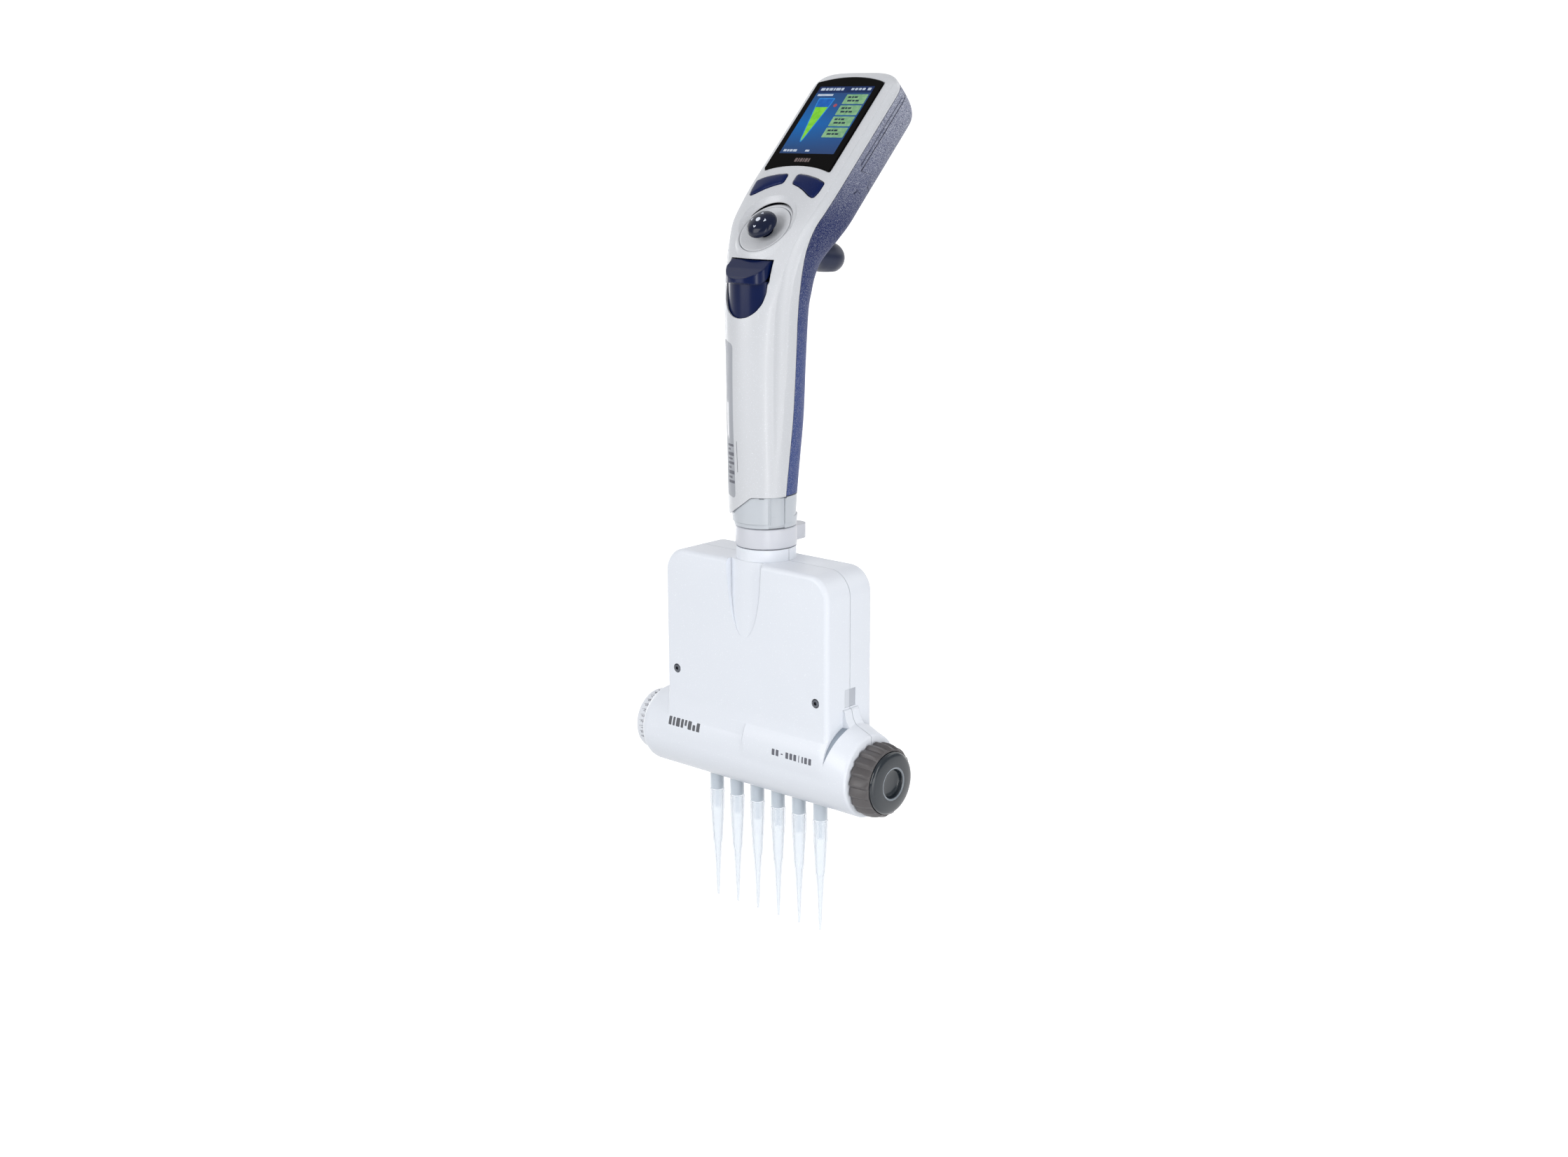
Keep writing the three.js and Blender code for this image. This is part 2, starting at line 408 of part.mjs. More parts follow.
// ------------------------------------------------------------------ manifold
function housingSkin(inset) {
  // box with rounded upright edges and rounded top
  const r = 3.2 - inset, hx = BOX_HALF_X - inset, hy = BOX_HALF_Y - inset;
  const outline = [];
  for (const [sx, sy, a0] of [[1, -1, -90], [1, 1, 0], [-1, 1, 90], [-1, -1, 180]]) {
    for (let k = 0; k <= 2; k++) {
      const a = rad(a0 + 45 * k);
      outline.push([sx * (hx - r) + r * Math.cos(a), sy * (hy - r) + r * Math.sin(a)]);
    }
  }
  const top = BOX_TOP_Z - inset;
  const rings = [];
  for (const [z, d] of [[72, 0], [top - 2.6, 0], [top - 1.0, 0.45], [top, 1.9]]) {
    rings.push(outline.map(([x, y]) => new THREE.Vector3(x - Math.sign(x) * d, y - Math.sign(y) * d, z)));
  }
  const cr = BOX_CORNER_R - inset, gate = [[-hx - 5, 60], [hx + 5, 60], [hx + 5, top - cr]];
  for (const [sx, a0] of [[1, 0], [-1, 90]]) {
    for (let k = 0; k <= 5; k++) {
      const a = rad(a0 + 18 * k);
      gate.push([sx * (hx - cr) + cr * Math.cos(a), top - cr + cr * Math.sin(a)]);
    }
  }
  gate.push([-hx - 5, top - cr]);
  const box = skin(rings).intersect(prism(gate, -40, 40, FRONT));
  // barrel: round below, flared into shoulders above, beside the box
  const xs = inset ? [BARREL_X0 + 3.2, -56, -50, -46, -40, 40, 46, 50, 54, BARREL_X1 - 1.6]
    : [BARREL_X0, BARREL_X0 + 0.9, BARREL_X0 + 2.3, BARREL_X0 + 4.2, -52, -48.5, -45.8, -40, 40, 45.8, 48.5, 52, BARREL_X1 - 0.8, BARREL_X1];
  const br = [];
  for (const x of xs) {
    const s = Math.max(0, Math.min(1, (Math.abs(x) - 40) / 6)) * Math.max(0, 1 - (Math.abs(x) - 46) / 12);
    const near = x - BARREL_X0;
    const endCut = inset ? (near < 4 ? 0.9 : 0)
      : near < 0.5 ? 2.8 : near < 1 ? 1.5 : near < 3 ? 0.5 : x === BARREL_X1 ? 0.8 : 0;
    const p = [];
    for (let j = 0; j < 24; j++) {
      const a = 2 * Math.PI * j / 24;
      const up = Math.max(0, Math.sin(a));
      const R = BARREL_R - inset - endCut + FLARE * Math.min(1, s) * up;
      p.push(new THREE.Vector3(x, R * Math.cos(a), BARREL_Z + R * Math.sin(a)));
    }
    br.push(p);
  }
  return box.add(skin(br));
}
{
  let h = housingSkin(0).add(bar('z', 12.6, 158, 165.1, 0, 0, 12.6, 32)).subtract(housingSkin(WALL));
  h = h.subtract(bar('z', 9.4, 150, 170, 0, 0, 9.4, 28));
  h = h.subtract(block(-53.6, 53.6, -3.9, 3.9, 50, 66));                   // nozzle slot
  h = h.subtract(bar('x', 10.4, -70, -50, 0, BARREL_Z, 10.4, 28)).subtract(bar('x', 10.4, 50, 70, 0, BARREL_Z, 10.4, 28));
  h = h.subtract(block(40, 50, -3.2, 3.6, 103.4, 111)).subtract(block(-50, -40, -3.2, 3.6, 103.4, 111));  // side windows
  // tapering flute below the neck
  h = h.subtract(skin([[161.5, 9.6, 3.4], [150, 8.9, 3.0], [140, 7.6, 2.2], [133, 5.4, 1.1], [129, 2.2, 0.15]].map(([z, w, d]) => {
    const r = [];
    for (let j = 0; j < 12; j++) { const a = 2 * Math.PI * j / 12; r.push(new THREE.Vector3(w * Math.cos(a), -BOX_HALF_Y + d * Math.sin(a) * (Math.sin(a) > 0 ? 0.42 : 4), z)); }
    return r;
  })));
  for (const x of [-39.5, 39.5]) {
    h = h.subtract(bar('y', 2.5, -20, -13.2, x, 106.7, 2.5, 16)).subtract(bar('y', 1.5, -20, -11, x, 106.7, 1.5, 12));
  }
  // small tabs under the side windows
  for (const s of [-1, 1]) {
    h = h.add(block(Math.min(s * 44.6, s * 47.6), Math.max(s * 44.6, s * 47.6), -4.6, 4.8, 93.5, 102.6));
  }
  add('front_housing', h.intersect(block(-80, 80, -40, -0.15, 40, 200)), '#e4e8f0', 0.35);
  add('rear_housing', h.intersect(block(-80, 80, 0.15, 40, 40, 200)), '#e4e8f0', 0.35);
}
add('swivel_collar', turned([[9.4, COLLAR_Z0], [12.5, COLLAR_Z0], [COLLAR_R, COLLAR_Z0 + 0.5], [COLLAR_R, COLLAR_Z1 - 0.5], [12.5, COLLAR_Z1], [9.4, COLLAR_Z1]], 24)
  .add(prism([[-5, 11], [5, 11], [4.6, 19.4], [3.2, 21.6], [0, 22.5], [-3.2, 21.6], [-4.6, 19.4]], COLLAR_Z0, 171.6)), '#e8ebf1', 0.3);
for (const [i, x] of [[1, -39.5], [2, 39.5]]) {
  add(`housing_screw_${i}`, bar('y', 2.2, -14.5, -13.5, x, 106.7, 2.2, 16).add(bar('y', 1.2, -13.6, -4, x, 106.7, 1.2, 10))
    .subtract(bar('y', 1.0, -16, -14.0, x, 106.7, 1.0, 6)), '#55585e', 0.35, 1);
}

// cylinder block with six bores, and the rack that carries six pistons
{
  let b = block(-34, 34, -6.5, 6.5, 105, 126.5);
  for (let i = 0; i < CHANNELS; i++) b = b.subtract(bar('z', 2.3, 107, 130, (i - 2.5) * PITCH, 0, 2.3, 8));
  add('cylinder_block', b, '#c9ced6', 0.4);
  let r = block(-33, 33, -5, 5, 143, 147.1).add(block(-36, -33, -3, 3, 143, 147.1)).add(block(33, 36, -3, 3, 143, 147.1));
  for (let i = 0; i < CHANNELS; i++) r = r.add(bar('z', 2.0, 124, 143.5, (i - 2.5) * PITCH, 0, 1.9, 8));
  add('piston_rack', r, '#b9bec8', 0.3, 0.8);
}
// stripper frame: push ring at the neck, legs at both ends, slotted bar below
{
  const ringTop = turned([[3.6, 154.4], [7.2, 154.4], [7.2, 157.4], [3.6, 157.4]], 16);
  const yoke = block(-2.5, 2.5, 5.6, 7.2, 148.4, 157.4).add(block(-43, 43, 5.6, 7.2, 148.4, 151.4));
  const plate = block(-53.2, 53.2, -3.6, 3.6, 61.9, 63.1).subtract(block(-51, 51, -2.45, 2.45, 60, 65));
  let f = ringTop.add(yoke).add(plate);
  for (const [a, b, c] of [[41, 43, 53.2], [-43, -41, -53.2]]) {
    const [x0, x1] = c > 0 ? [52, 53.2] : [-53.2, -52];
    f = f.add(block(a, b, 5.6, 7.2, 85.6, 151.4)).add(block(Math.min(a, x0), Math.max(b, x1), 5.6, 7.2, 85.6, 87.6))
      .add(block(x0, x1, 5.6, 7.2, 68.4, 87.6)).add(block(x0, x1, 2, 7.2, 68.4, 70.6)).add(block(x0, x1, -1.8, 3.6, 61.9, 70.6));
  }
  add('stripper_frame', f, '#aeb4be', 0.4, 0.7);
}
// cam drum with six helical grooves
{
  let d = bar('x', DRUM_R, -50.6, 50.6, 0, BARREL_Z, DRUM_R, 20).add(bar('x', 4, -61.2, 57.4, 0, BARREL_Z, 4, 12));
  const GW = 1.8;
  for (let i = 0; i < CHANNELS; i++) {
    const k = i - 2.5, n = 10;
    const rings = [];
    for (let s = 0; s <= n; s++) {
      // knob angle -108..228 degrees; the groove passes the follower at the bottom
      const turn = -108 + 336 * s / n;
      const x = k * (PITCH + turn / TURN_PER_MM);
      const a = rad(-90 - turn);
      const c = Math.cos(a), q = Math.sin(a);
      rings.push([[x - GW, GROOVE_R], [x + GW, GROOVE_R], [x + GW, DRUM_R + 1.2], [x - GW, DRUM_R + 1.2]]
        .map(([xx, r]) => new THREE.Vector3(xx, r * c, BARREL_Z + r * q)));
    }
    d = d.subtract(skin(rings));
  }
  add('cam_drum', d, '#9aa0aa', 0.35, 0.6);
}
add('bearing_left', turned([[4.3, -58.6], [10.1, -58.6], [10.1, -54.2], [4.3, -54.2]], 20, new THREE.Matrix4().makeTranslation(0, 0, BARREL_Z).multiply(new THREE.Matrix4().makeRotationY(Math.PI / 2))), '#d2d4d8', 0.3, 0.6);
add('bearing_right', turned([[4.3, 54.2], [10.1, 54.2], [10.1, 57.0], [4.3, 57.0]], 20, new THREE.Matrix4().makeTranslation(0, 0, BARREL_Z).multiply(new THREE.Matrix4().makeRotationY(Math.PI / 2))), '#d2d4d8', 0.3, 0.6);
add('guide_rail_front', bar('x', 1.2, -54.5, 54.5, -7.2, 65.8, 1.2, 8), '#c9ccd2', 0.2, 1);
add('guide_rail_rear', bar('x', 1.2, -51.7, 51.7, 7.2, 65.8, 1.2, 8), '#c9ccd2', 0.2, 1);

const ALONG_X = new THREE.Matrix4().makeTranslation(0, 0, BARREL_Z).multiply(new THREE.Matrix4().makeRotationY(Math.PI / 2));
{
  // knob: scalloped rubber rim, glossy recessed cap
  const lobes = 16, outline = [];
  for (let j = 0; j < lobes * 2; j++) {
    const a = Math.PI * j / lobes, R = j % 2 ? 14.7 : 15.6;
    outline.push([R * Math.cos(a), R * Math.sin(a)]);
  }
  const grip = skin([[57.7, 0.9], [59.2, 0], [61, 0], [66.2, 0.9], [67.0, 1.8]].map(([x, d]) =>
    outline.map(([u, v]) => { const l = Math.hypot(u, v), k = (l - d) / l; return new THREE.Vector3(x, u * k, BARREL_Z + v * k); })));
  const rim = grip
    .subtract(bar('x', 13.2, 61.5, 70, 0, BARREL_Z, 13.2, 24)).subtract(bar('x', 4.3, 50, 70, 0, BARREL_Z, 4.3, 12));
  add('spacing_knob', rim, '#55504f', 0.75);
  add('knob_cap', turned([[0, 61.8], [12.9, 61.8], [12.9, 67.2], [11.6, 68.6], [9.2, 69.2], [6.6, 69.0], [5.9, 68.6], [5.2, 67.0], [0, 66.6]], 24, ALONG_X), '#3a4048', 0.15);
  add('index_dial', turned([[4.3, -66.6], [13.0, -66.6], [13.7, -65.9], [13.9, -62.4], [13.6, -61.8], [4.3, -61.8]], 24, ALONG_X)
    .add(bar('x', 5.5, -66.6, -64, 0, BARREL_Z, 5.5, 20)), '#dfe2e8', 0.4);
}

// ------------------------------------------------------------------ channels
for (let i = 0; i < CHANNELS; i++) {
  const x = (i - 2.5) * PITCH;
  let c = block(x - 4.1, x + 4.1, -9.0, 9.0, 63.6, 67.9)
    .subtract(bar('x', 1.6, x - 5, x + 5, -7.2, 65.8, 1.6, 6))
    .subtract(bar('x', 1.6, x - 5, x + 5, 7.2, 65.8, 1.6, 6))
    .add(bar('z', 1.1, 67, 69.2, x, 0, 1.1, 6))
    .add(bar('z', 2.15, 44.5, 64, x, 0, 2.15, 10))
    .add(bar('z', 1.6, 41.6, 44.5, x, 0, 2.15, 10))
    .subtract(bar('z', 0.7, 38, 66, x, 0, 0.7, 4));
  add(`nozzle_carriage_${i + 1}`, c, '#b9c2cc', 0.35);
  const sleeve = turned([[2.5, 50.4], [3.0, 50.4], [3.0, 60.6], [3.5, 60.6], [3.5, 61.6], [2.5, 61.6]], 10, new THREE.Matrix4().makeTranslation(x, 0, 0));
  add(`ejector_sleeve_${i + 1}`, sleeve, '#aab4c0', 0.3);
  const tip = turned([[0.3, 0], [0.65, 0], [1.3, 14.6], [1.85, 24.6], [2.2, 25.8], [2.95, 40.4],
    [TIP_COLLAR_R, TIP_LENGTH], [2.65, TIP_LENGTH], [2.5, 41.5], [0.85, 14.2]], 10,
  new THREE.Matrix4().makeTranslation(x, 0, 0));
  add(`tip_${i + 1}`, tip, '#e8eef2', 0.15);
}

// flat ribbon of air hoses from the cylinder block down to the carriages
{
  let hose = null;
  for (let i = 0; i < CHANNELS; i++) {
    const x = (i - 2.5) * 10.4;
    const curve = new THREE.CatmullRomCurve3([[x, -7.9, 121], [x, -9.2, 112], [x, -10.4, 102], [x, -9.9, 92], [x, -10.6, 84]].map((p) => new THREE.Vector3(...p)));
    const sec = new THREE.Shape();
    for (let k = 0; k < 4; k++) { const a = Math.PI * k / 2; if (k) sec.lineTo(1.1 * Math.cos(a), 1.1 * Math.sin(a)); else sec.moveTo(1.1, 0); }
    const tube = solid(new THREE.ExtrudeGeometry(sec, { steps: 4, extrudePath: curve, bevelEnabled: false }));
    hose = hose ? hose.add(tube) : tube;
  }
  hose = hose.add(block(-27, 27, -10.9, -10.0, 98, 101));
  add('hose_ribbon', hose, '#d8dde2', 0.3);
}

root.position.set(0, -HOOK_REST_Y, -HOOK_REST_Z);
export default root;
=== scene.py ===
import bpy
import math
import numpy as np
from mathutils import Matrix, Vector
from mathutils.bvhtree import BVHTree


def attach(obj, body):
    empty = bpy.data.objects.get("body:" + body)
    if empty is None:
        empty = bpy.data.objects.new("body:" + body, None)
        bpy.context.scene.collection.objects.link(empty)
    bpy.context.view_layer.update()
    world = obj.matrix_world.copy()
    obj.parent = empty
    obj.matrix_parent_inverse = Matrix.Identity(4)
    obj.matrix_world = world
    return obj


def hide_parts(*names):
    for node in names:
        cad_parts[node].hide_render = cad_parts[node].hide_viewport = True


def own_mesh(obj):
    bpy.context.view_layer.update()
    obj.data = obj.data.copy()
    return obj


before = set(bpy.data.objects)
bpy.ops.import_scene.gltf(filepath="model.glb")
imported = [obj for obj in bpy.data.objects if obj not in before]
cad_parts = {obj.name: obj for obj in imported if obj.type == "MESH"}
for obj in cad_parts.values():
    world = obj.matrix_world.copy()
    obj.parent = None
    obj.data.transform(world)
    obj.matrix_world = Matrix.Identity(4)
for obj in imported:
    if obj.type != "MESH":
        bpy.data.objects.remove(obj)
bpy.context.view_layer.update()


# Shapes are laid out in millimetres from the swivel axis at tip-point level, and
# moved at the end to the row's frame, whose origin is under the finger hook.
OFF = np.array([0.0, 37.5, 276.0])
rad = math.radians
PITCH, BARREL_Z, BARREL_R = 12.0, 75.2, 16.9
BOX_X, BOX_Y, BOX_TOP = 45.8, 14.4, 160.0


# ------------------------------------------------------------------ geometry
def fix(V, F):
    """flip so that the volume is positive"""
    V = np.asarray(V, float)
    vol = 0.0
    for f in F:
        a = V[f[0]]
        for k in range(1, len(f) - 1):
            vol += float(np.dot(a, np.cross(V[f[k]], V[f[k + 1]])))
    if vol < 0:
        F = [tuple(reversed(f)) for f in F]
    return V, [tuple(int(i) for i in f) for f in F]


def skin(rings, cap=True):
    rings = np.asarray(rings, float)
    m, n, _ = rings.shape
    V = list(rings.reshape(-1, 3))
    F = []
    for i in range(m - 1):
        for j in range(n):
            a, b = i * n + j, i * n + (j + 1) % n
            F.append((a, b, b + n, a + n))
    if cap:
        for k in (0, m - 1):
            c = len(V)
            V.append(rings[k].mean(0))
            for j in range(n):
                a, b = k * n + j, k * n + (j + 1) % n
                F.append((c, b, a) if k == 0 else (c, a, b))
    return fix(np.array(V), F)


def apply(M, pts):
    pts = np.asarray(pts, float)
    return pts @ M[:3, :3].T + M[:3, 3]


def fr(oy, oz, tilt):
    a = rad(tilt)
    M = np.eye(4)
    M[:3, 0] = (1, 0, 0)
    M[:3, 1] = (0, math.sin(a), math.cos(a))
    M[:3, 2] = (0, -math.cos(a), math.sin(a))
    M[:3, 3] = (0, oy, oz)
    return M


HEAD = fr(18.84, 317.8, 44.7)
JOY = fr(0.1, 295.4, 45)


def basis(x, y, z, o=(0, 0, 0)):
    M = np.eye(4)
    M[:3, 0], M[:3, 1], M[:3, 2], M[:3, 3] = x, y, z, o
    return M


SIDE = basis((0, 1, 0), (0, 0, 1), (1, 0, 0))
FRONT = basis((1, 0, 0), (0, 0, 1), (0, -1, 0))
REAR = basis((-1, 0, 0), (0, 0, 1), (0, 1, 0))
ALONG_X = basis((0, 0, -1), (0, 1, 0), (1, 0, 0), (0, 0, BARREL_Z))
va = rad(41.7)
VIEW = basis((math.cos(va), math.sin(va), 0), (0, 0, 1), (math.sin(va), -math.cos(va), 0))


def prism(outline, z0, z1, M=np.eye(4)):
    o = np.asarray(outline, float)
    n = len(o)
    lo = np.c_[o, np.full(n, z0)]
    hi = np.c_[o, np.full(n, z1)]
    V = apply(M, np.r_[lo, hi])
    F = [(i, (i + 1) % n, n + (i + 1) % n, n + i) for i in range(n)]
    F += [tuple(reversed(range(n))), tuple(range(n, 2 * n))]
    return fix_ngon(V, F, o)


def fix_ngon(V, F, o):
    area = 0.5 * np.sum(o[:, 0] * np.roll(o[:, 1], -1) - np.roll(o[:, 0], -1) * o[:, 1])
    e1, e2, e3 = V[1] - V[0], None, V[len(o)] - V[0]
    # orientation from the outline's winding and the frame's handedness
    c = V[:len(o)].mean(0)
    nrm = np.zeros(3)
    for i in range(len(o)):
        nrm += np.cross(V[i] - c, V[(i + 1) % len(o)] - c)
    up = V[len(o)] - V[0]
    if np.dot(nrm, up) < 0:
        F = [tuple(reversed(f)) for f in F]
    return V, F


def turned(profile, seg=64, M=np.eye(4)):
    p = [tuple(q) for q in profile]
    on_axis = p[0][0] == 0 and p[-1][0] == 0
    V, F = [], []
    if on_axis:
        body = p[1:-1]
    else:
        body = p
    for r, z in body:
        for j in range(seg):
            a = 2 * math.pi * j / seg
            V.append((r * math.cos(a), r * math.sin(a), z))
    m = len(body)
    last = m - 1 if on_axis else m
    for i in range(last):
        k = (i + 1) % m
        for j in range(seg):
            F.append((i * seg + j, i * seg + (j + 1) % seg, k * seg + (j + 1) % seg, k * seg + j))
    if on_axis:
        a = len(V)
        V.append((0, 0, p[0][1]))
        V.append((0, 0, p[-1][1]))
        for j in range(seg):
            F.append((a, (j + 1) % seg, j))
            F.append((a + 1, (m - 1) * seg + j, (m - 1) * seg + (j + 1) % seg))
    V = apply(M, np.array(V))
    return fix(V, F)


def bar(axis, r, a, b, u=0.0, v=0.0, r2=None, seg=48):
    r2 = r if r2 is None else r2
    M = {"z": basis((1, 0, 0), (0, 1, 0), (0, 0, 1), (u, v, 0)),
         "x": basis((0, 1, 0), (0, 0, 1), (1, 0, 0), (0, u, v)),
         "y": basis((0, 0, 1), (1, 0, 0), (0, 1, 0), (u, 0, v))}[axis]
    return turned([(0, a), (r, a), (r2, b), (0, b)], seg, M)


def block(x0, x1, y0, y1, z0, z1):
    return prism([(x0, y0), (x1, y0), (x1, y1), (x0, y1)], z0, z1)


def fillet(pts, radii, n=5):
    """round the corners of a polygon; radii per corner or one number"""
    pts = [np.array(p, float) for p in pts]
    out = []
    m = len(pts)
    for i in range(m):
        r = radii[i] if hasattr(radii, "__len__") else radii
        p, a, b = pts[i], pts[i - 1], pts[(i + 1) % m]
        if r <= 0:
            out.append(tuple(p))
            continue
        u, v = a - p, b - p
        lu, lv = np.linalg.norm(u), np.linalg.norm(v)
        u, v = u / lu, v / lv
        cosang = max(-1, min(1, float(np.dot(u, v))))
        ang = math.acos(cosang)
        if ang > math.pi - 0.02:
            out.append(tuple(p))
            continue
        d = min(r / math.tan(ang / 2), 0.48 * lu, 0.48 * lv)
        rr = d * math.tan(ang / 2)
        c = p + (u + v) / np.linalg.norm(u + v) * (rr / math.sin(ang / 2))
        s, e = p + u * d, p + v * d
        a0 = math.atan2(*(s - c)[::-1])
        a1 = math.atan2(*(e - c)[::-1])
        da = (a1 - a0 + math.pi) % (2 * math.pi) - math.pi
        for k in range(n + 1):
            t = a0 + da * k / n
            out.append((c[0] + rr * math.cos(t), c[1] + rr * math.sin(t)))
    return out


def smooth_closed(pts, sub=6):
    p = np.array(pts, float)
    n = len(p)
    out = []
    for i in range(n):
        a, b, c, d = p[i - 1], p[i], p[(i + 1) % n], p[(i + 2) % n]
        for k in range(sub):
            t = k / sub
            out.append(0.5 * (2 * b + (c - a) * t + (2 * a - 5 * b + 4 * c - d) * t * t
                              + (3 * b - a - 3 * c + d) * t ** 3))
    return np.array(out)


def resample(p, n, closed=True):
    p = np.array(p, float)
    q = np.r_[p, p[:1]] if closed else p
    s = np.r_[0, np.cumsum(np.linalg.norm(np.diff(q, axis=0), axis=1))]
    t = np.linspace(0, s[-1], n + 1)[:-1] if closed else np.linspace(0, s[-1], n)
    return np.stack([np.interp(t, s, q[:, k]) for k in range(q.shape[1])], 1)


def inset(p, d):
    """move a closed outline inwards along its normals"""
    p = np.array(p, float)
    area = 0.5 * np.sum(p[:, 0] * np.roll(p[:, 1], -1) - np.roll(p[:, 0], -1) * p[:, 1])
    t = np.roll(p, -1, 0) - np.roll(p, 1, 0)
    t /= np.linalg.norm(t, axis=1)[:, None] + 1e-12
    nrm = np.c_[-t[:, 1], t[:, 0]] * (1 if area > 0 else -1)
    return p + nrm * d


def tmp(vf, name="tmp"):
    me = bpy.data.meshes.new(name)
    me.from_pydata([tuple(v) for v in vf[0]], [], vf[1])
    o = bpy.data.objects.new(name, me)
    bpy.context.scene.collection.objects.link(o)
    return o


def csg(base, *ops):
    """solid boolean: ops are ('-', part), ('+', part) or ('&', part)"""
    o = tmp(base)
    temps = [o]
    kinds = {"-": "DIFFERENCE", "+": "UNION", "&": "INTERSECT"}
    for op, b in ops:
        t = tmp(b)
        temps.append(t)
        m = o.modifiers.new("b", "BOOLEAN")
        m.operation = kinds[op]
        m.object = t
        m.solver = "MANIFOLD"
    dg = bpy.context.evaluated_depsgraph_get()
    me = bpy.data.meshes.new_from_object(o.evaluated_get(dg))
    V = np.array([v.co for v in me.vertices], float).reshape(-1, 3)
    F = [tuple(p.vertices) for p in me.polygons]
    bpy.data.meshes.remove(me)
    for t in temps:
        d = t.data
        bpy.data.objects.remove(t)
        bpy.data.meshes.remove(d)
    if not len(V):
        raise RuntimeError("a boolean left nothing")
    return V, F


def join(*parts):
    V, F, k = [], [], 0
    for v, f in parts:
        V.append(np.asarray(v, float))
        F += [tuple(i + k for i in q) for q in f]
        k += len(v)
    return np.concatenate(V), F


PIECES = {}


def piece(name, vf, material, body, nodes=(), sharp=32.0, sub=0, cutters=None):
    V, F = vf
    me = bpy.data.meshes.new(name)
    me.from_pydata([tuple((np.asarray(v) - OFF) / 1000.0) for v in V], [], F)
    me.validate()
    me.update()
    for p in me.polygons:
        p.use_smooth = True
    if sharp:
        me.set_sharp_from_angle(angle=rad(sharp))
    o = bpy.data.objects.new(name, me)
    bpy.context.scene.collection.objects.link(o)
    mats = material if isinstance(material, (list, tuple)) else [material]
    for m in mats:
        me.materials.append(m)
    if sub:
        s = o.modifiers.new("sub", "SUBSURF")
        s.levels = s.render_levels = sub
    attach(o, body)
    if nodes:
        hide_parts(*nodes)
    PIECES[name] = o
    return o


def bvh(vf):
    return BVHTree.FromPolygons([tuple(v) for v in vf[0]], [tuple(f) for f in vf[1]])


def surface_n(tree, M, x, y, top=30.0):
    """height of a surface above the local plane of M at (x, y), looking down local z"""
    o = apply(M, [[x, y, top]])[0]
    d = -M[:3, 2]
    hit = tree.ray_cast(Vector(o), Vector(d))
    return None if hit[0] is None else top - hit[3]


def pad(outline, M, tree, levels, inner=8, default=0.0, top=30.0, bottom=-0.6):
    """A raised pad that follows a surface: levels are (inset, height) from the rim up."""
    rings = []
    base = np.asarray(outline, float)

    def at(pts, h):
        r = []
        for x, y in pts:
            s = surface_n(tree, M, x, y, top) if tree else default
            r.append((x, y, (default if s is None else s) + h))
        return r
    rings.append(at(inset(base, levels[0][0]), bottom))
    for d, h in [q[:2] for q in levels]:
        rings.append(at(inset(base, d), h))
    last = inset(base, levels[-1][0])
    c = last.mean(0)
    for k in range(1, inner):
        f = 1 - k / inner
        rings.append(at(c + (last - c) * f, levels[-1][1] if len(levels[-1]) < 3 else levels[-1][1] + levels[-1][2] * (1 - f * f)))
    rings = [apply(M, r) for r in rings]
    return skin(rings)


# ------------------------------------------------------------------ handle skin
def hp(t, n):
    a = rad(44.7)
    return (18.84 + t * math.sin(a) - n * math.cos(a), 317.8 + t * math.cos(a) + n * math.sin(a))


ST = [
    [(-3.6, 174), (-15.0, 174), (11.4, 174), 13.8, 2.1, 2.1],
    [(-3.3, 188), (-15.3, 188), (12.5, 188), 14.2, 2.1, 2.1],
    [(-1.9, 203), (-15.7, 203), (14.0, 203), 14.8, 2.1, 2.1],
    [(-0.2, 220), (-16.2, 220), (15.6, 220), 15.4, 2.1, 2.1],
    [(1.0, 242), (-16.3, 242), (16.4, 242), 15.9, 2.1, 2.1],
    [(1.0, 262), (-15.8, 262), (17.4, 262), 17.0, 2.1, 2.1],
    [(1.3, 272), (-13.7, 272), (18.3, 269), 17.9, 2.2, 2.2],
    [(1.6, 279), (-11.0, 279.4), (19.3, 274.5), 18.8, 2.3, 2.3],
    [(2.1, 285), (-7.4, 286), (20.6, 279), 19.8, 2.5, 2.5],
    [(3.4, 290.5), (-3.2, 292.8), (22.4, 282.3), 20.8, 2.8, 2.8],
    [(6.4, 296.4), (0.9, 298.8), (24.7, 285.4), 21.7, 3.2, 3.2],
    [hp(-16, -6), hp(-16, -0.12), hp(-14.5, -26.6), 22.3, 3.6, 3.6],
    [hp(-6, -6), hp(-6, 0), hp(-6.5, -26.7), 22.6, 4, 4],
    [hp(6, -6), hp(6, 0), hp(6, -26.7), 22.6, 4, 4],
    [hp(44, -6), hp(44, 0), hp(44, -26.7), 22.6, 4, 4],
]
STF = np.array([[*s[0], *s[1], *s[2], s[3], s[4], s[5]] for s in ST])
TOP_T, HALF_X, HEAD_REAR = 58.2, 22.6, 20.7


def st_at(u):
    n = len(STF)
    i = min(int(math.floor(u)), n - 2)
    t = u - i
    g = lambda k: STF[max(0, min(n - 1, k))]
    a, b, c, d = g(i - 1), g(i), g(i + 1), g(i + 2)
    if i == n - 2:
        return b + (c - b) * t
    return 0.5 * (2 * b + (c - a) * t + (2 * a - 5 * b + 4 * c - d) * t * t + (3 * b - a - 3 * c + d) * t ** 3)


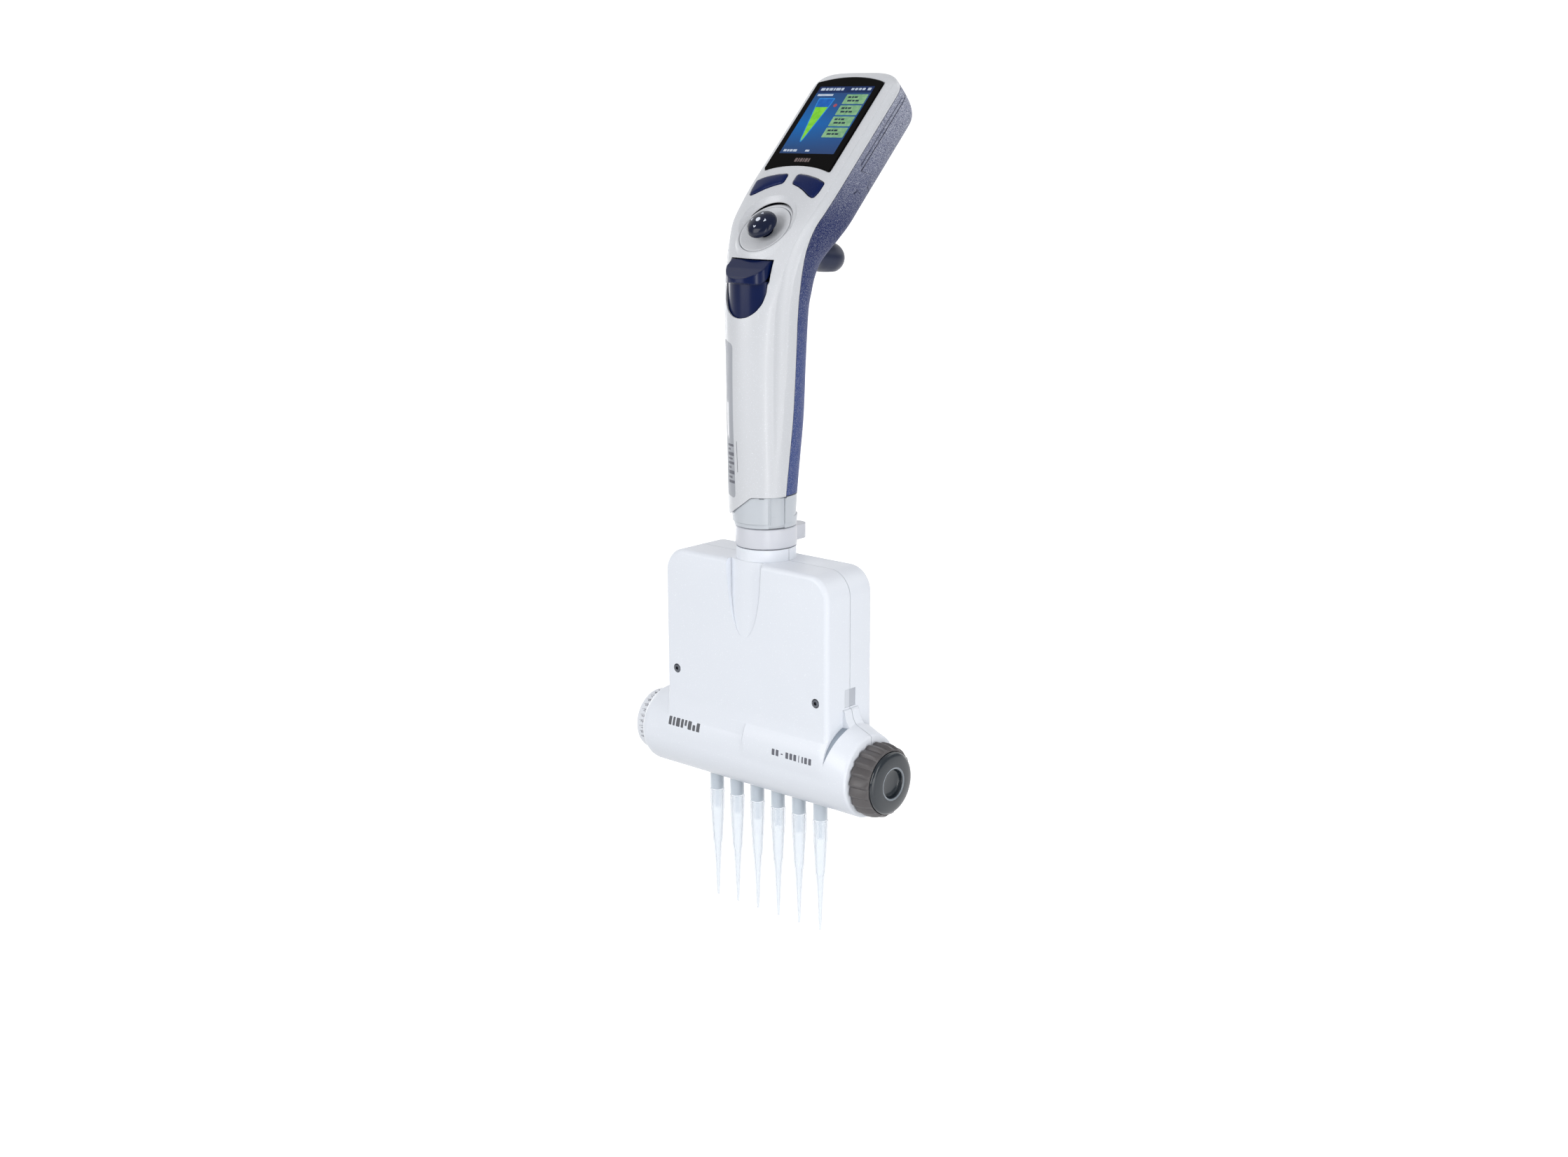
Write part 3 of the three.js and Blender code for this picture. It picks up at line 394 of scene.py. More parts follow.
def ring(v, ins, half):
    s, f, b = v[0:2], v[2:4], v[4:6]
    a = v[6] - ins
    out = []
    for end, p, sign in ((f, v[7], 1), (b, v[8], -1)):
        L = np.linalg.norm(end - s)
        k = (L - ins) / L
        ang = np.linspace(0, math.pi, 361)
        if sign < 0:
            ang = ang + math.pi
        c, q = np.cos(ang), np.abs(np.sin(ang))
        x = a * np.sign(c) * np.abs(c) ** (2 / p)
        w = q ** (2 / p) * k
        pts = np.stack([x, s[0] + (end[0] - s[0]) * w, s[1] + (end[1] - s[1]) * w], 1)
        pts = resample(pts, half + 1, closed=False)
        out.append(pts[:-1])
    return np.concatenate(out)


def handle(ins, half=48, sub=8, top_n=26):
    rings = []
    last = len(STF) - 1
    for i in range(last):
        m = 2 if i < 2 else (sub if i < 12 else (4 if i == 12 else 10))
        for k in range(m):
            rings.append(ring(st_at(i + k / m), ins, half))
    rings.append(ring(st_at(last), ins, half))
    top = TOP_T - ins
    for k in range(1, top_n + 1):
        t = 44 + (top - 44) * math.sin(math.pi / 2 * min(1, k / top_n) * 0.985)

        def e(start, p):
            return 1.0 if t <= start else max(0.0, 1 - ((t - start) / (top - start)) ** p) ** (1 / p)
        v = np.array([*hp(t, -6), *hp(t, -6 + (6 - ins) * e(50, 2.5)), *hp(t, -6 - (HEAD_REAR - ins) * e(48, 2.5)),
                      (HALF_X - ins) * e(45, 3.2), 4, 4])
        rings.append(ring(v, 0, half))
    return skin(rings)


OUTER = handle(0)
INNER = handle(1.8, 24, 3, 8)
OUT_TREE = bvh(OUTER)

seam = [st_at(u)[0:2] for u in np.arange(0, len(STF) - 1 + 1e-9, 0.2)] + [np.array(hp(62, -6))]


def seam_at(d):
    out = []
    for i, (y, z) in enumerate(seam):
        p, q = seam[max(0, i - 1)], seam[min(len(seam) - 1, i + 1)]
        l = math.hypot(q[0] - p[0], q[1] - p[1])
        out.append((y - (q[1] - p[1]) / l * d, z + (q[0] - p[0]) / l * d))
    return out


sf, sr = seam_at(0.15), seam_at(-0.15)
FRONT_SIDE = prism([(-60, 150), (sf[0][0], 150), *sf, (-60, 400)], -40, 40, SIDE)
REAR_SIDE = prism([*reversed(sr), (sr[0][0], 150), (120, 150), (120, 380)], -40, 40, SIDE)


def lip(d):
    curve = fillet([(40, 188 - d), (-6.2, 187.7 - d), (-12.9, 181.5 - d), (-14.6, 179.4 - d), (-17, 178.6 - d), (-40, 178.6 - d)],
                   [0, 3, 3, 3, 3, 0], 5)
    return prism([(-40, 150), (40, 150), *curve], -40, 40, VIEW)


def arch(w, b, t, rise, n=32):
    pts = []
    for i in range(n + 1):
        x = -w + 2 * w * i / n
        pts.append((x, b + rise * (1 - (x / w) ** 2)))
    for i in range(n + 1):
        x = w - 2 * w * i / n
        pts.append((x, t + rise * (1 - (x / w) ** 2)))
    return pts


def round_arch(w, b, t, rise, r):
    a = arch(w, b, t, rise)
    n = len(a)
    radii = [0] * n
    for k in (0, 32, 33, 65):
        radii[k] = r
    # drop points too close to the corners so that they can be rounded
    keep = [k for k in range(n) if k in (0, 32, 33, 65) or min(abs(k - c) for c in (0, 32, 33, 65)) > 1]
    return fillet([a[k] for k in keep], [radii[k] for k in keep], 5)


KEY = [(2.2, -1.3), (8, -2.0), (14, -3.4), (18.6, -5.2), (18.4, -10.2), (17.4, -14.0), (14.4, -12.9), (10, -10.2), (6.5, -8.5), (2.2, -7.0)]
KEY_R = fillet(KEY, [1.6, 8, 8, 1.6, 8, 1.8, 8, 8, 8, 1.6], 6)
KEY_OUT = resample(KEY_R, 96)


def mirror(p):
    return [(-x, y) for x, y in reversed([tuple(q) for q in p])]


MOUTH = [(-10.8, 283.8), (10.8, 283.8), (11, 278), (11, 271), (10, 266.8), (7.6, 263.4), (4.2, 261.2), (0, 260.5),
         (-4.2, 261.2), (-7.6, 263.4), (-10, 266.8), (-11, 271), (-11, 278)]
MOUTH_R = fillet(MOUTH, [1.2, 1.2, 6, 8, 8, 8, 8, 8, 8, 8, 8, 8, 6], 5)

# soft-edged bowl round the joystick
bowl = [(0, -7.5), (12.0, -7.5), (12.0, -0.35), (12.08, -0.1), (12.3, 0.06), (13.0, 0.3), (14.2, 0.85), (15.4, 1.7), (16.4, 2.9), (17.2, 4.6), (0, 4.6)]
boss = turned([(0, -3.4), (16.2, -3.4), (15.2, -2.2), (14.0, -0.9), (13.2, -0.2), (12.7, 0.04), (12.3, 0.1), (0, 0.1)], 96, JOY)


def channel(sx, R0=4.0, deep=0.75):
    """cutter for the shallow concave band between front face and parting line"""
    rings = []
    last = len(STF) - 1
    steps = [(u, 0.0) for u in np.arange(1.0, last + 1e-9, 0.2)] + [(last, e) for e in (3, 6, 9, 12, 15)]
    for u, ext in steps:
        v = st_at(u)
        T = np.array([math.sin(rad(44.7)), math.cos(rad(44.7))]) * ext
        s0, f0, a, p = v[0:2] + T, v[2:4] + T, v[6], v[7]
        L = np.linalg.norm(f0 - s0)
        e2 = (f0 - s0) / L
        w = 0.46
        R = R0 + 5.5 * max(0.0, min(1.0, (11.5 - u) / 4.0))
        xs = a * (1 - w ** p) ** (1 / p)
        g = np.array([(xs / a) ** (p - 1) / a, w ** (p - 1) / L])
        g /= np.linalg.norm(g)
        k = max(0.0, min(1.0, (u - 1.2) / 3.4))
        d = -0.05 + (deep + 0.05) * k * k * (3 - 2 * k)
        c = np.array([xs, w * L]) + g * (R - d)
        an_ = np.linspace(0, 2 * math.pi, 73)[:-1]
        X, H = c[0] + R * np.cos(an_), c[1] + R * np.sin(an_)
        rings.append(np.stack([sx * X, s0[0] + e2[0] * H, s0[1] + e2[1] * H], 1))
    return skin(rings)


def moved(M, vf):
    return apply(M, vf[0]), vf[1]


def wedge(a0, a1, r0, r1, z0, z1, cy=-0.9):
    """sector of a ring round the swivel axis; angles from the front towards +X"""
    a = [rad(q) for q in np.linspace(a0, a1, 16)]
    o = [(r1 * math.sin(q), cy - r1 * math.cos(q)) for q in a] + [(r0 * math.sin(q), cy - r0 * math.cos(q)) for q in reversed(a)]
    return prism(o, z0, z1)


front = csg(OUTER, ("-", INNER), ("&", FRONT_SIDE), ("-", lip(0)), ("-", channel(1)), ("-", channel(-1)), ("+", boss),
            ("-", prism(round_arch(17.9, -0.1, 49.8, 2.8, 1.0), -1.3, 6, HEAD)),
            ("-", prism([(-16.5, 3), (16.5, 3), (16.5, 48.4), (-16.5, 48.4)], -6, 2, HEAD)),
            ("-", prism(list(map(tuple, KEY_OUT)), -5.9, 3, HEAD)),
            ("-", prism(mirror(KEY_OUT), -5.9, 3, HEAD)),
            ("-", turned(bowl, 96, JOY)),
            ("-", prism(MOUTH_R, 3, 30, FRONT)),
            ("-", csg(bar("z", 15.3, 248, 284, seg=96), ("&", block(-11.5, 11.5, -20, -5, 248, 284)))))

doorM = HEAD @ basis((0, 1, 0), (0, 0, 1), (1, 0, 0))


def door(g):
    return prism([(10.5 - g, -10.7 + g), (14, -17), (9.5 - g, -18.5), (9.5 - g, -40), (70, -40), (70, -10.7 + g)], -30, 30, doorM)


TRIG = [(-6.6, 245.6), (6.6, 245.6), (6.6, 271.4), (-6.6, 271.4)]
TRIG_R = fillet(TRIG, 3.0, 6)
TRIG_G = fillet([(-7.1, 245.1), (7.1, 245.1), (7.1, 271.9), (-7.1, 271.9)], 3.4, 6)
rear_full = csg(OUTER, ("-", INNER), ("&", REAR_SIDE))
rear = csg(rear_full, ("-", block(-30, 30, -10, 40, 150, 188)), ("-", door(0.45)),
           ("-", bar("y", 4.4, 10, 40, 0, 283)), ("-", prism(TRIG_G, 6, 30, REAR)),
           ("-", prism(fillet([(11.5, -9.1), (53, -9.1), (53, -8.3), (11.5, -8.3)], 0.2, 3), 22.0, 30, doorM)),
           ("-", prism(fillet([(11.5, -9.1), (53, -9.1), (53, -8.3), (11.5, -8.3)], 0.2, 3), -30, -22.0, doorM)),
           ("-", prism(fillet([(0.5, -13.2), (3.6, -13.8), (3.9, -16.6), (3.2, -16.4), (2.9, -14.4), (0.6, -13.8)], 0.15, 3), 21.9, 30, doorM)),
           ("-", prism(fillet([(0.5, -13.2), (3.6, -13.8), (3.9, -16.6), (3.2, -16.4), (2.9, -14.4), (0.6, -13.8)], 0.15, 3), -30, -21.9, doorM)))
door_vf = csg(rear_full, ("&", door(-0.12)))


# ------------------------------------------------------------------ materials
class Tree:
    def __init__(self, name):
        self.mat = bpy.data.materials.new(name)
        self.mat.use_nodes = True
        self.t = self.mat.node_tree
        self.t.nodes.clear()
        self.out = self.n("ShaderNodeOutputMaterial")
        co = self.n("ShaderNodeTexCoord")
        self.obj = co.outputs["Object"]

    def n(self, kind, **kw):
        x = self.t.nodes.new(kind)
        for k, v in kw.items():
            setattr(x, k, v)
        return x

    def link(self, a, b):
        self.t.links.new(a, b)

    def noise(self, scale, detail=3, rough=0.5, vec=None):
        x = self.n("ShaderNodeTexNoise")
        x.inputs["Scale"].default_value = scale
        x.inputs["Detail"].default_value = detail
        x.inputs["Roughness"].default_value = rough
        self.link(vec or self.obj, x.inputs["Vector"])
        return x.outputs["Fac"]

    def voronoi(self, scale, feature="F1", vec=None):
        x = self.n("ShaderNodeTexVoronoi")
        x.feature = feature
        x.inputs["Scale"].default_value = scale
        self.link(vec or self.obj, x.inputs["Vector"])
        return x.outputs["Distance"]

    def ramp(self, fac, a, b, lo=0.0, hi=1.0):
        x = self.n("ShaderNodeMapRange")
        x.inputs["From Min"].default_value = a
        x.inputs["From Max"].default_value = b
        x.inputs["To Min"].default_value = lo
        x.inputs["To Max"].default_value = hi
        self.link(fac, x.inputs["Value"])
        return x.outputs["Result"]

    def mix(self, fac, a, b):
        x = self.n("ShaderNodeMix", data_type="RGBA")
        for s, v in ((0, fac), (6, a), (7, b)):
            if hasattr(v, "is_output"):
                self.link(v, x.inputs[s])
            elif s == 0:
                x.inputs[s].default_value = v
            else:
                x.inputs[s].default_value = (*v, 1)
        return x.outputs[2]

    def math(self, op, a, b=0.0):
        x = self.n("ShaderNodeMath", operation=op)
        for k, v in enumerate((a, b)):
            if hasattr(v, "is_output"):
                self.link(v, x.inputs[k])
            else:
                x.inputs[k].default_value = v
        return x.outputs[0]


def lin(c):
    return tuple((x / 12.92 if x <= 0.04045 else ((x + 0.055) / 1.055) ** 2.4) for x in (v / 255 for v in c))


def plastic(name, col, rough=0.35, grain=0.0005, bump=0.15, coat=0.0, var=0.03, bevel=0.00035, metal=0.0,
            speck=None, spec=0.5, rvar=0.06, sss=0.0, wear=0.0, depth=0.00003, navy_tint_and_bend_shade=None):
    t = Tree(name)
    c = lin(col)
    big = t.noise(28, 2)
    darker = tuple(x * (1 - var * 2) for x in c)
    lighter = tuple(min(1, x * (1 + var)) for x in c)
    colour = t.mix(t.ramp(big, 0.35, 0.65), darker, lighter)
    # painted shade: low on the piece the colour runs to navy, darkest in a band around z 0.012-0.022 m where the shell
    # bends away into shade, easing to a lighter navy further down; the navy is partly the shell's own colour
    if navy_tint_and_bend_shade:
        sep = t.n("ShaderNodeSeparateXYZ")
        t.link(t.obj, sep.inputs[0])
        deep = t.mix(t.ramp(sep.outputs["Z"], -0.035, 0.012), lin(navy_tint_and_bend_shade[4]), lin(navy_tint_and_bend_shade[2]))
        colour = t.mix(t.ramp(sep.outputs["Z"], navy_tint_and_bend_shade[0], navy_tint_and_bend_shade[1], 1.0, 0.0), colour, deep)
    fine = t.noise(1 / grain, 2, 0.6)
    if speck:
        for size, lo, hi, sc in speck:
            cell = t.noise(1 / size, 1, 0.5)
            fac = t.ramp(cell, lo, hi)
            if navy_tint_and_bend_shade:
                fac = t.math("MULTIPLY", fac, t.ramp(sep.outputs["Z"], navy_tint_and_bend_shade[0], navy_tint_and_bend_shade[1], navy_tint_and_bend_shade[3], 1.0))
            colour = t.mix(fac, colour, lin(sc))
    p = t.n("ShaderNodeBsdfPrincipled")
    if wear:
        # faint bright rub on the edges
        bev = t.n("ShaderNodeBevel", samples=4)
        bev.inputs["Radius"].default_value = 0.0006
        geo = t.n("ShaderNodeNewGeometry")
        dot = t.n("ShaderNodeVectorMath", operation="DOT_PRODUCT")
        t.link(bev.outputs[0], dot.inputs[0])
        t.link(geo.outputs["Normal"], dot.inputs[1])
        edge = t.ramp(dot.outputs["Value"], 0.999, 0.90)
        patch = t.ramp(t.noise(180, 3), 0.42, 0.62)
        colour = t.mix(t.math("MULTIPLY", t.math("MULTIPLY", edge, patch), wear), colour, tuple(min(1, x * 1.6 + 0.12) for x in c))
    t.link(colour, p.inputs["Base Color"])
    smear = t.noise(90, 4, 0.65)
    t.link(t.ramp(smear, 0.3, 0.7, max(0.02, rough - rvar), rough + rvar), p.inputs["Roughness"])
    p.inputs["Metallic"].default_value = metal
    p.inputs["Specular IOR Level"].default_value = spec
    p.inputs["Coat Weight"].default_value = coat
    p.inputs["Coat Roughness"].default_value = 0.08
    if sss:
        p.inputs["Subsurface Weight"].default_value = sss
        p.inputs["Subsurface Radius"].default_value = (0.002, 0.002, 0.0025)
        p.inputs["Subsurface Scale"].default_value = 1.0
    b = t.n("ShaderNodeBump")
    b.inputs["Strength"].default_value = bump
    b.inputs["Distance"].default_value = depth
    t.link(fine, b.inputs["Height"])
    if bevel:
        bv = t.n("ShaderNodeBevel", samples=4)
        bv.inputs["Radius"].default_value = bevel
        t.link(bv.outputs[0], b.inputs["Normal"])
    t.link(b.outputs[0], p.inputs["Normal"])
    t.link(p.outputs[0], t.out.inputs["Surface"])
    return t.mat


def metal(name, col, rough=0.3, scale=900, aniso=(1, 1, 12)):
    t = Tree(name)
    m = t.n("ShaderNodeMapping")
    m.inputs["Scale"].default_value = aniso
    t.link(t.obj, m.inputs["Vector"])
    brushed = t.noise(scale, 3, 0.6, m.outputs[0])
    p = t.n("ShaderNodeBsdfPrincipled")
    c = lin(col)
    t.link(t.mix(t.ramp(brushed, 0.3, 0.7), tuple(x * 0.8 for x in c), c), p.inputs["Base Color"])
    t.link(t.ramp(brushed, 0.3, 0.7, rough - 0.08, rough + 0.12), p.inputs["Roughness"])
    p.inputs["Metallic"].default_value = 1.0
    b = t.n("ShaderNodeBump")
    b.inputs["Strength"].default_value = 0.2
    b.inputs["Distance"].default_value = 0.00002
    t.link(brushed, b.inputs["Height"])
    t.link(b.outputs[0], p.inputs["Normal"])
    t.link(p.outputs[0], t.out.inputs["Surface"])
    return t.mat


def clear(name, col, body=0.35, rough=0.3, edge=0.75, power=1.5):
    """clear moulded plastic: see-through in the middle, denser towards the edges"""
    t = Tree(name)
    p = t.n("ShaderNodeBsdfPrincipled")
    c = lin(col)
    t.link(t.mix(t.ramp(t.noise(120, 2), 0.35, 0.65), tuple(x * 0.97 for x in c), c), p.inputs["Base Color"])
    t.link(t.ramp(t.noise(300, 2), 0.3, 0.7, rough - 0.04, rough + 0.04), p.inputs["Roughness"])
    p.inputs["Specular IOR Level"].default_value = 0.35
    tr = t.n("ShaderNodeBsdfTransparent")
    tr.inputs["Color"].default_value = (0.975, 0.985, 0.995, 1)
    lw = t.n("ShaderNodeLayerWeight")
    lw.inputs["Blend"].default_value = 0.5
    f = t.math("POWER", lw.outputs["Facing"], power)
    fac = t.ramp(f, 0.0, 1.0, body, edge)
    m = t.n("ShaderNodeMixShader")
    t.link(fac, m.inputs[0])
    t.link(tr.outputs[0], m.inputs[1])
    t.link(p.outputs[0], m.inputs[2])
    t.link(m.outputs[0], t.out.inputs["Surface"])
    return t.mat


M_WHITE = plastic("pearl_white", (203, 205, 209), rough=0.36, grain=0.0007, bump=0.08, coat=0.08, var=0.006, spec=0.45,
                  speck=[(0.0005, 0.62, 0.80, (220, 222, 228))], rvar=0.03)
# rear shell: (10, 28, 82) is painted shade at the bend; (52, 70, 126) is the lighter navy lower down; the navy zone is
# partly the shell's own colour
M_SLATE = plastic("slate_fleck", (140, 144, 163), rough=0.5, grain=0.0007, bump=0.9, depth=0.00006, coat=0.0, var=0.05, metal=0.0,
                  speck=[(0.00036, 0.52, 0.60, (182, 185, 198)), (0.0005, 0.56, 0.63, (52, 58, 86)), (0.00028, 0.62, 0.68, (222, 224, 232))],
                  spec=0.14, rvar=0.08, wear=0.25, navy_tint_and_bend_shade=(0.022, 0.072, (10, 28, 82), 0.25, (52, 70, 126)))
M_NAVY = plastic("navy_gloss", (8, 26, 76), rough=0.24, grain=0.0009, bump=0.06, coat=0.0, var=0.05, bevel=0.0006, spec=0.14, wear=0.10,
                 speck=[(0.0004, 0.66, 0.74, (30, 44, 104))])
M_BTN = plastic("button_gloss", (2, 20, 66), rough=0.2, grain=0.0012, bump=0.03, coat=0.0, var=0.05, bevel=0.0008, spec=0.2, wear=0.1, rvar=0.03)
M_HOOK = plastic("hook_navy", (28, 36, 62), rough=0.34, grain=0.0006, bump=0.2, coat=0.0, var=0.06, bevel=0.0006, wear=0.15, spec=0.3)
M_MANI = plastic("cool_white", (224, 228, 235), rough=0.34, grain=0.0008, bump=0.05, coat=0.05, var=0.004, spec=0.4, rvar=0.02,
                 speck=[(0.0006, 0.64, 0.80, (234, 238, 244))])
M_GLASS = plastic("window_black", (7, 6, 6), rough=0.1, grain=0.004, bump=0.01, coat=0.0, var=0.1, bevel=0.0003, rvar=0.03, spec=0.04)
M_KNOB = plastic("knob_rubber", (78, 75, 76), rough=0.42, grain=0.0005, bump=0.4, depth=0.00005, var=0.08, bevel=0.0003, spec=0.45, wear=0.4,
                 speck=[(0.0005, 0.60, 0.72, (84, 79, 79))])
M_DOME = plastic("dome_navy", (10, 20, 46), rough=0.2, grain=0.0009, bump=0.05, coat=0.0, var=0.05, bevel=0.0005, spec=0.26)
M_CAP = plastic("cap_gloss", (28, 36, 43), rough=0.16, grain=0.001, bump=0.03, coat=0.25, var=0.06, bevel=0.0005, spec=0.45)
# painted highlight: light grey for the rim of the hub crater on the knob face
M_HUB_RIM_HIGHLIGHT = plastic("hub_rim_painted_highlight", (118, 126, 134), rough=0.16, grain=0.001, bump=0.04, coat=0.3, var=0.05, bevel=0.0002, spec=0.5)
M_COLLAR = plastic("collar_white", (203, 205, 212), rough=0.34, grain=0.0008, bump=0.05, coat=0.05, var=0.006, spec=0.4, rvar=0.02)
# painted shade: grey for the concave groove between box side and barrel shoulder
M_GROOVE_SHADE = plastic("groove_painted_shade", (150, 160, 172), rough=0.45, grain=0.0008, bump=0.05, var=0.02, bevel=0, spec=0.2)
M_NOSE = plastic("nose_white", (190, 195, 201), rough=0.34, grain=0.0008, bump=0.05, coat=0.05, var=0.006, spec=0.4, rvar=0.02)
M_DIAL = plastic("dial_white", (222, 225, 231), rough=0.36, grain=0.0006, bump=0.06, coat=0.0, var=0.008)
M_CARR = plastic("carriage_pale", (232, 237, 243), rough=0.42, grain=0.0006, bump=0.1, var=0.015, bevel=0.0002)
M_PANE = plastic("pane_grey", (176, 180, 188), rough=0.4, grain=0.0006, bump=0.1, var=0.03, bevel=0.0002)
M_PANEL = plastic("pane_light", (203, 207, 214), rough=0.4, grain=0.0006, bump=0.1, var=0.02, bevel=0.0002)
M_DARK = plastic("gap_dark", (26, 28, 34), rough=0.7, grain=0.0006, bump=0.3, var=0.1, bevel=0)
M_INK = plastic("ink_grey", (96, 98, 108), rough=0.5, grain=0.0004, bump=0.15, var=0.08, bevel=0)
M_INKD = plastic("ink_dark", (78, 80, 86), rough=0.5, grain=0.0004, bump=0.15, var=0.08, bevel=0)
M_INKW = plastic("ink_white", (222, 228, 240), rough=0.4, grain=0.0004, bump=0.1, var=0.03, bevel=0)
M_LABEL = plastic("label_grey", (158, 161, 168), rough=0.45, grain=0.0004, bump=0.15, var=0.03, bevel=0)
M_BOARD = plastic("board_green", (30, 104, 60), rough=0.5, grain=0.0008, bump=0.3, var=0.1, speck=[(0.001, 0.6, 0.66, (190, 160, 70))])
M_PACK = plastic("pack_grey", (56, 60, 70), rough=0.45, grain=0.001, bump=0.4, var=0.1)
M_HOSE = clear("hose_clear", (216, 222, 228), 0.55, 0.25, 0.9)
M_TIP = clear("tip_clear", (206, 211, 218), 0.16, 0.3, 0.8, 2.6)
M_SLEEVE = clear("sleeve_pale", (222, 230, 238), 0.55, 0.3, 0.85, 1.6)
M_NOZ = clear("nozzle_clear", (246, 248, 251), 0.02, 0.3, 0.06, 1.5)
M_DIG = plastic("dial_ink", (132, 134, 140), rough=0.5, grain=0.0004, bump=0.1, var=0.05, bevel=0)
M_WIN = plastic("window_ink", (120, 106, 106), rough=0.5, grain=0.0004, bump=0.1, var=0.05, bevel=0, spec=0.1)
M_STEEL = metal("brushed_steel", (188, 192, 198))
M_DSCREW = metal("dark_screw", (92, 95, 102), 0.32)

node_mats = {
    "battery_pack": M_PACK, "main_board": M_BOARD, "display_module": M_GLASS, "joystick_gimbal": M_CARR, "ejector_rod": M_STEEL,
    "ejector_spring": M_STEEL, "drive_motor": M_STEEL, "drive_screw": M_STEEL, "inner_chassis": M_STEEL, "plunger_rod": M_STEEL,
    "shell_screw_1": M_STEEL, "shell_screw_2": M_STEEL, "cylinder_block": M_CARR, "piston_rack": M_STEEL, "stripper_frame": M_STEEL,
    "cam_drum": M_STEEL, "bearing_left": M_STEEL, "bearing_right": M_STEEL, "guide_rail_front": M_STEEL, "guide_rail_rear": M_STEEL,
    "hose_ribbon": M_HOSE,
}
for name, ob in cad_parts.items():
    m = node_mats.get(name, M_CARR)
    ob.data.materials.clear()
    ob.data.materials.append(m)

# ------------------------------------------------------------------ handle pieces
coil = []
for k in range(241):
    a = 2 * math.pi * 4 * k / 240
    ca, sa = math.cos(a), math.sin(a)
    coil.append([((8.2 + 0.48 * math.cos(q)) * ca, (8.2 + 0.48 * math.cos(q)) * sa, 188.8 + 9.2 * k / 240 + 0.48 * math.sin(q)) for q in np.linspace(0, 2 * math.pi, 13)[:-1]])
spring = piece("ejector_coil", skin(coil), M_STEEL, "handle", ["ejector_spring"])
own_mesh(spring)
piece("grip_front_shell", front, M_WHITE, "handle", ["front_shell"])
piece("grip_rear_shell", rear, M_SLATE, "handle", ["rear_shell"])
piece("battery_lid", door_vf, M_SLATE, "battery_cover", ["battery_door"])

front_tree = bvh(front)
lb = rad(-29.0)
LBL = basis((math.cos(lb), math.sin(lb), 0), (0, 0, 1), (math.sin(lb), -math.cos(lb), 0))
strip = resample(fillet([(-4.9, 187.6), (4.3, 186.4), (4.6, 250), (-4.9, 252)], [1.5, 1.5, 2, 2], 5), 220)
piece("side_label", pad(strip, LBL, front_tree, [(0, 0.0), (0.06, 0.05)], 3, 14.0, 30, -0.1), M_LABEL, "handle")
lab = []
z = 192.6
for w_, h_ in ((4.6, 1.2), (3.0, 0.9), (4.6, 1.5), (2.4, 0.9), (4.6, 1.1), (3.6, 0.8), (4.6, 1.4), (2.2, 0.8), (4.6, 1.0)):
    lab.append(pad(resample(fillet([(-0.4, z), (-0.4 + w_, z), (-0.4 + w_, z + h_), (-0.4, z + h_)], 0.15, 2), 28), LBL, front_tree, [(0, 0.04), (0.03, 0.1)], 2, 14.0, 30, -0.1))
    z += h_ + 0.85
piece("side_ticks", join(*lab), M_INK, "handle")
piece("side_line", pad(resample([(6.0, 197.6), (6.22, 197.6), (6.22, 210.6), (6.0, 210.6)], 60), LBL, front_tree, [(0, 0.0), (0.02, 0.05)], 2, 14.0, 30, -0.1), M_INK, "handle")

trig = csg(handle(-1.0, 32, 6, 4), ("-", handle(1.4, 24, 4, 4)), ("&", REAR_SIDE), ("&", prism(TRIG_R, 6, 30, REAR)))
piece("trigger_pad", trig, M_NAVY, "trigger", ["trigger"])

# finger hook: stem and rounded bulb with a small flat underneath
prof = [(26.6, 6.2, 4.6, 0), (29.5, 6.6, 5.0, -.2), (33, 7.4, 6.0, -.7), (37.4, 8.0, 6.9, -1.1), (41.2, 7.3, 6.3, -1.3),
        (43.8, 5.4, 4.8, -1.4), (45.4, 2.8, 2.5, -1.5)]
pa = np.array(prof)
ys = np.array([26.6, 26.6, *np.linspace(27, 43, 24), 44.0, 44.6, 45.0, 45.3, 45.4])
rings = []
dense = []
for i in range(len(pa) - 1):
    a, b, c, d = pa[max(0, i - 1)], pa[i], pa[i + 1], pa[min(len(pa) - 1, i + 2)]
    for k in range(8):
        t = k / 8
        dense.append(0.5 * (2 * b + (c - a) * t + (2 * a - 5 * b + 4 * c - d) * t * t + (3 * b - a - 3 * c + d) * t ** 3))
dense.append(pa[-1])
dense = np.array(dense)
dense = np.r_[[[26.2, 5.6, 4.1, 0], [26.3, 6.0, 4.4, 0]], dense, [[45.9, 1.4, 1.3, -1.5], [46.0, 0.4, 0.4, -1.5]]]
for y, a, c, dz in dense:
    an = np.linspace(0, 2 * math.pi, 57)[:-1]
    rings.append(np.stack([a * np.cos(an), np.full(56, y), 283 + dz + c * np.sin(an)], 1))
hook = csg(skin(rings), ("+", bar("y", 4.0, 16.6, 27.5, 0, 283)), ("-", block(-12, 12, 20, 50, 262, 276.0)))
piece("hook", hook, M_HOOK, "handle", ["finger_hook"])

# ------------------------------------------------------------------ display
win = prism(round_arch(17.6, 0.2, 49.5, 2.8, 0.9), -1.0, 0.05, HEAD)
piece("screen_window", win, M_GLASS, "handle", ["display_window"])


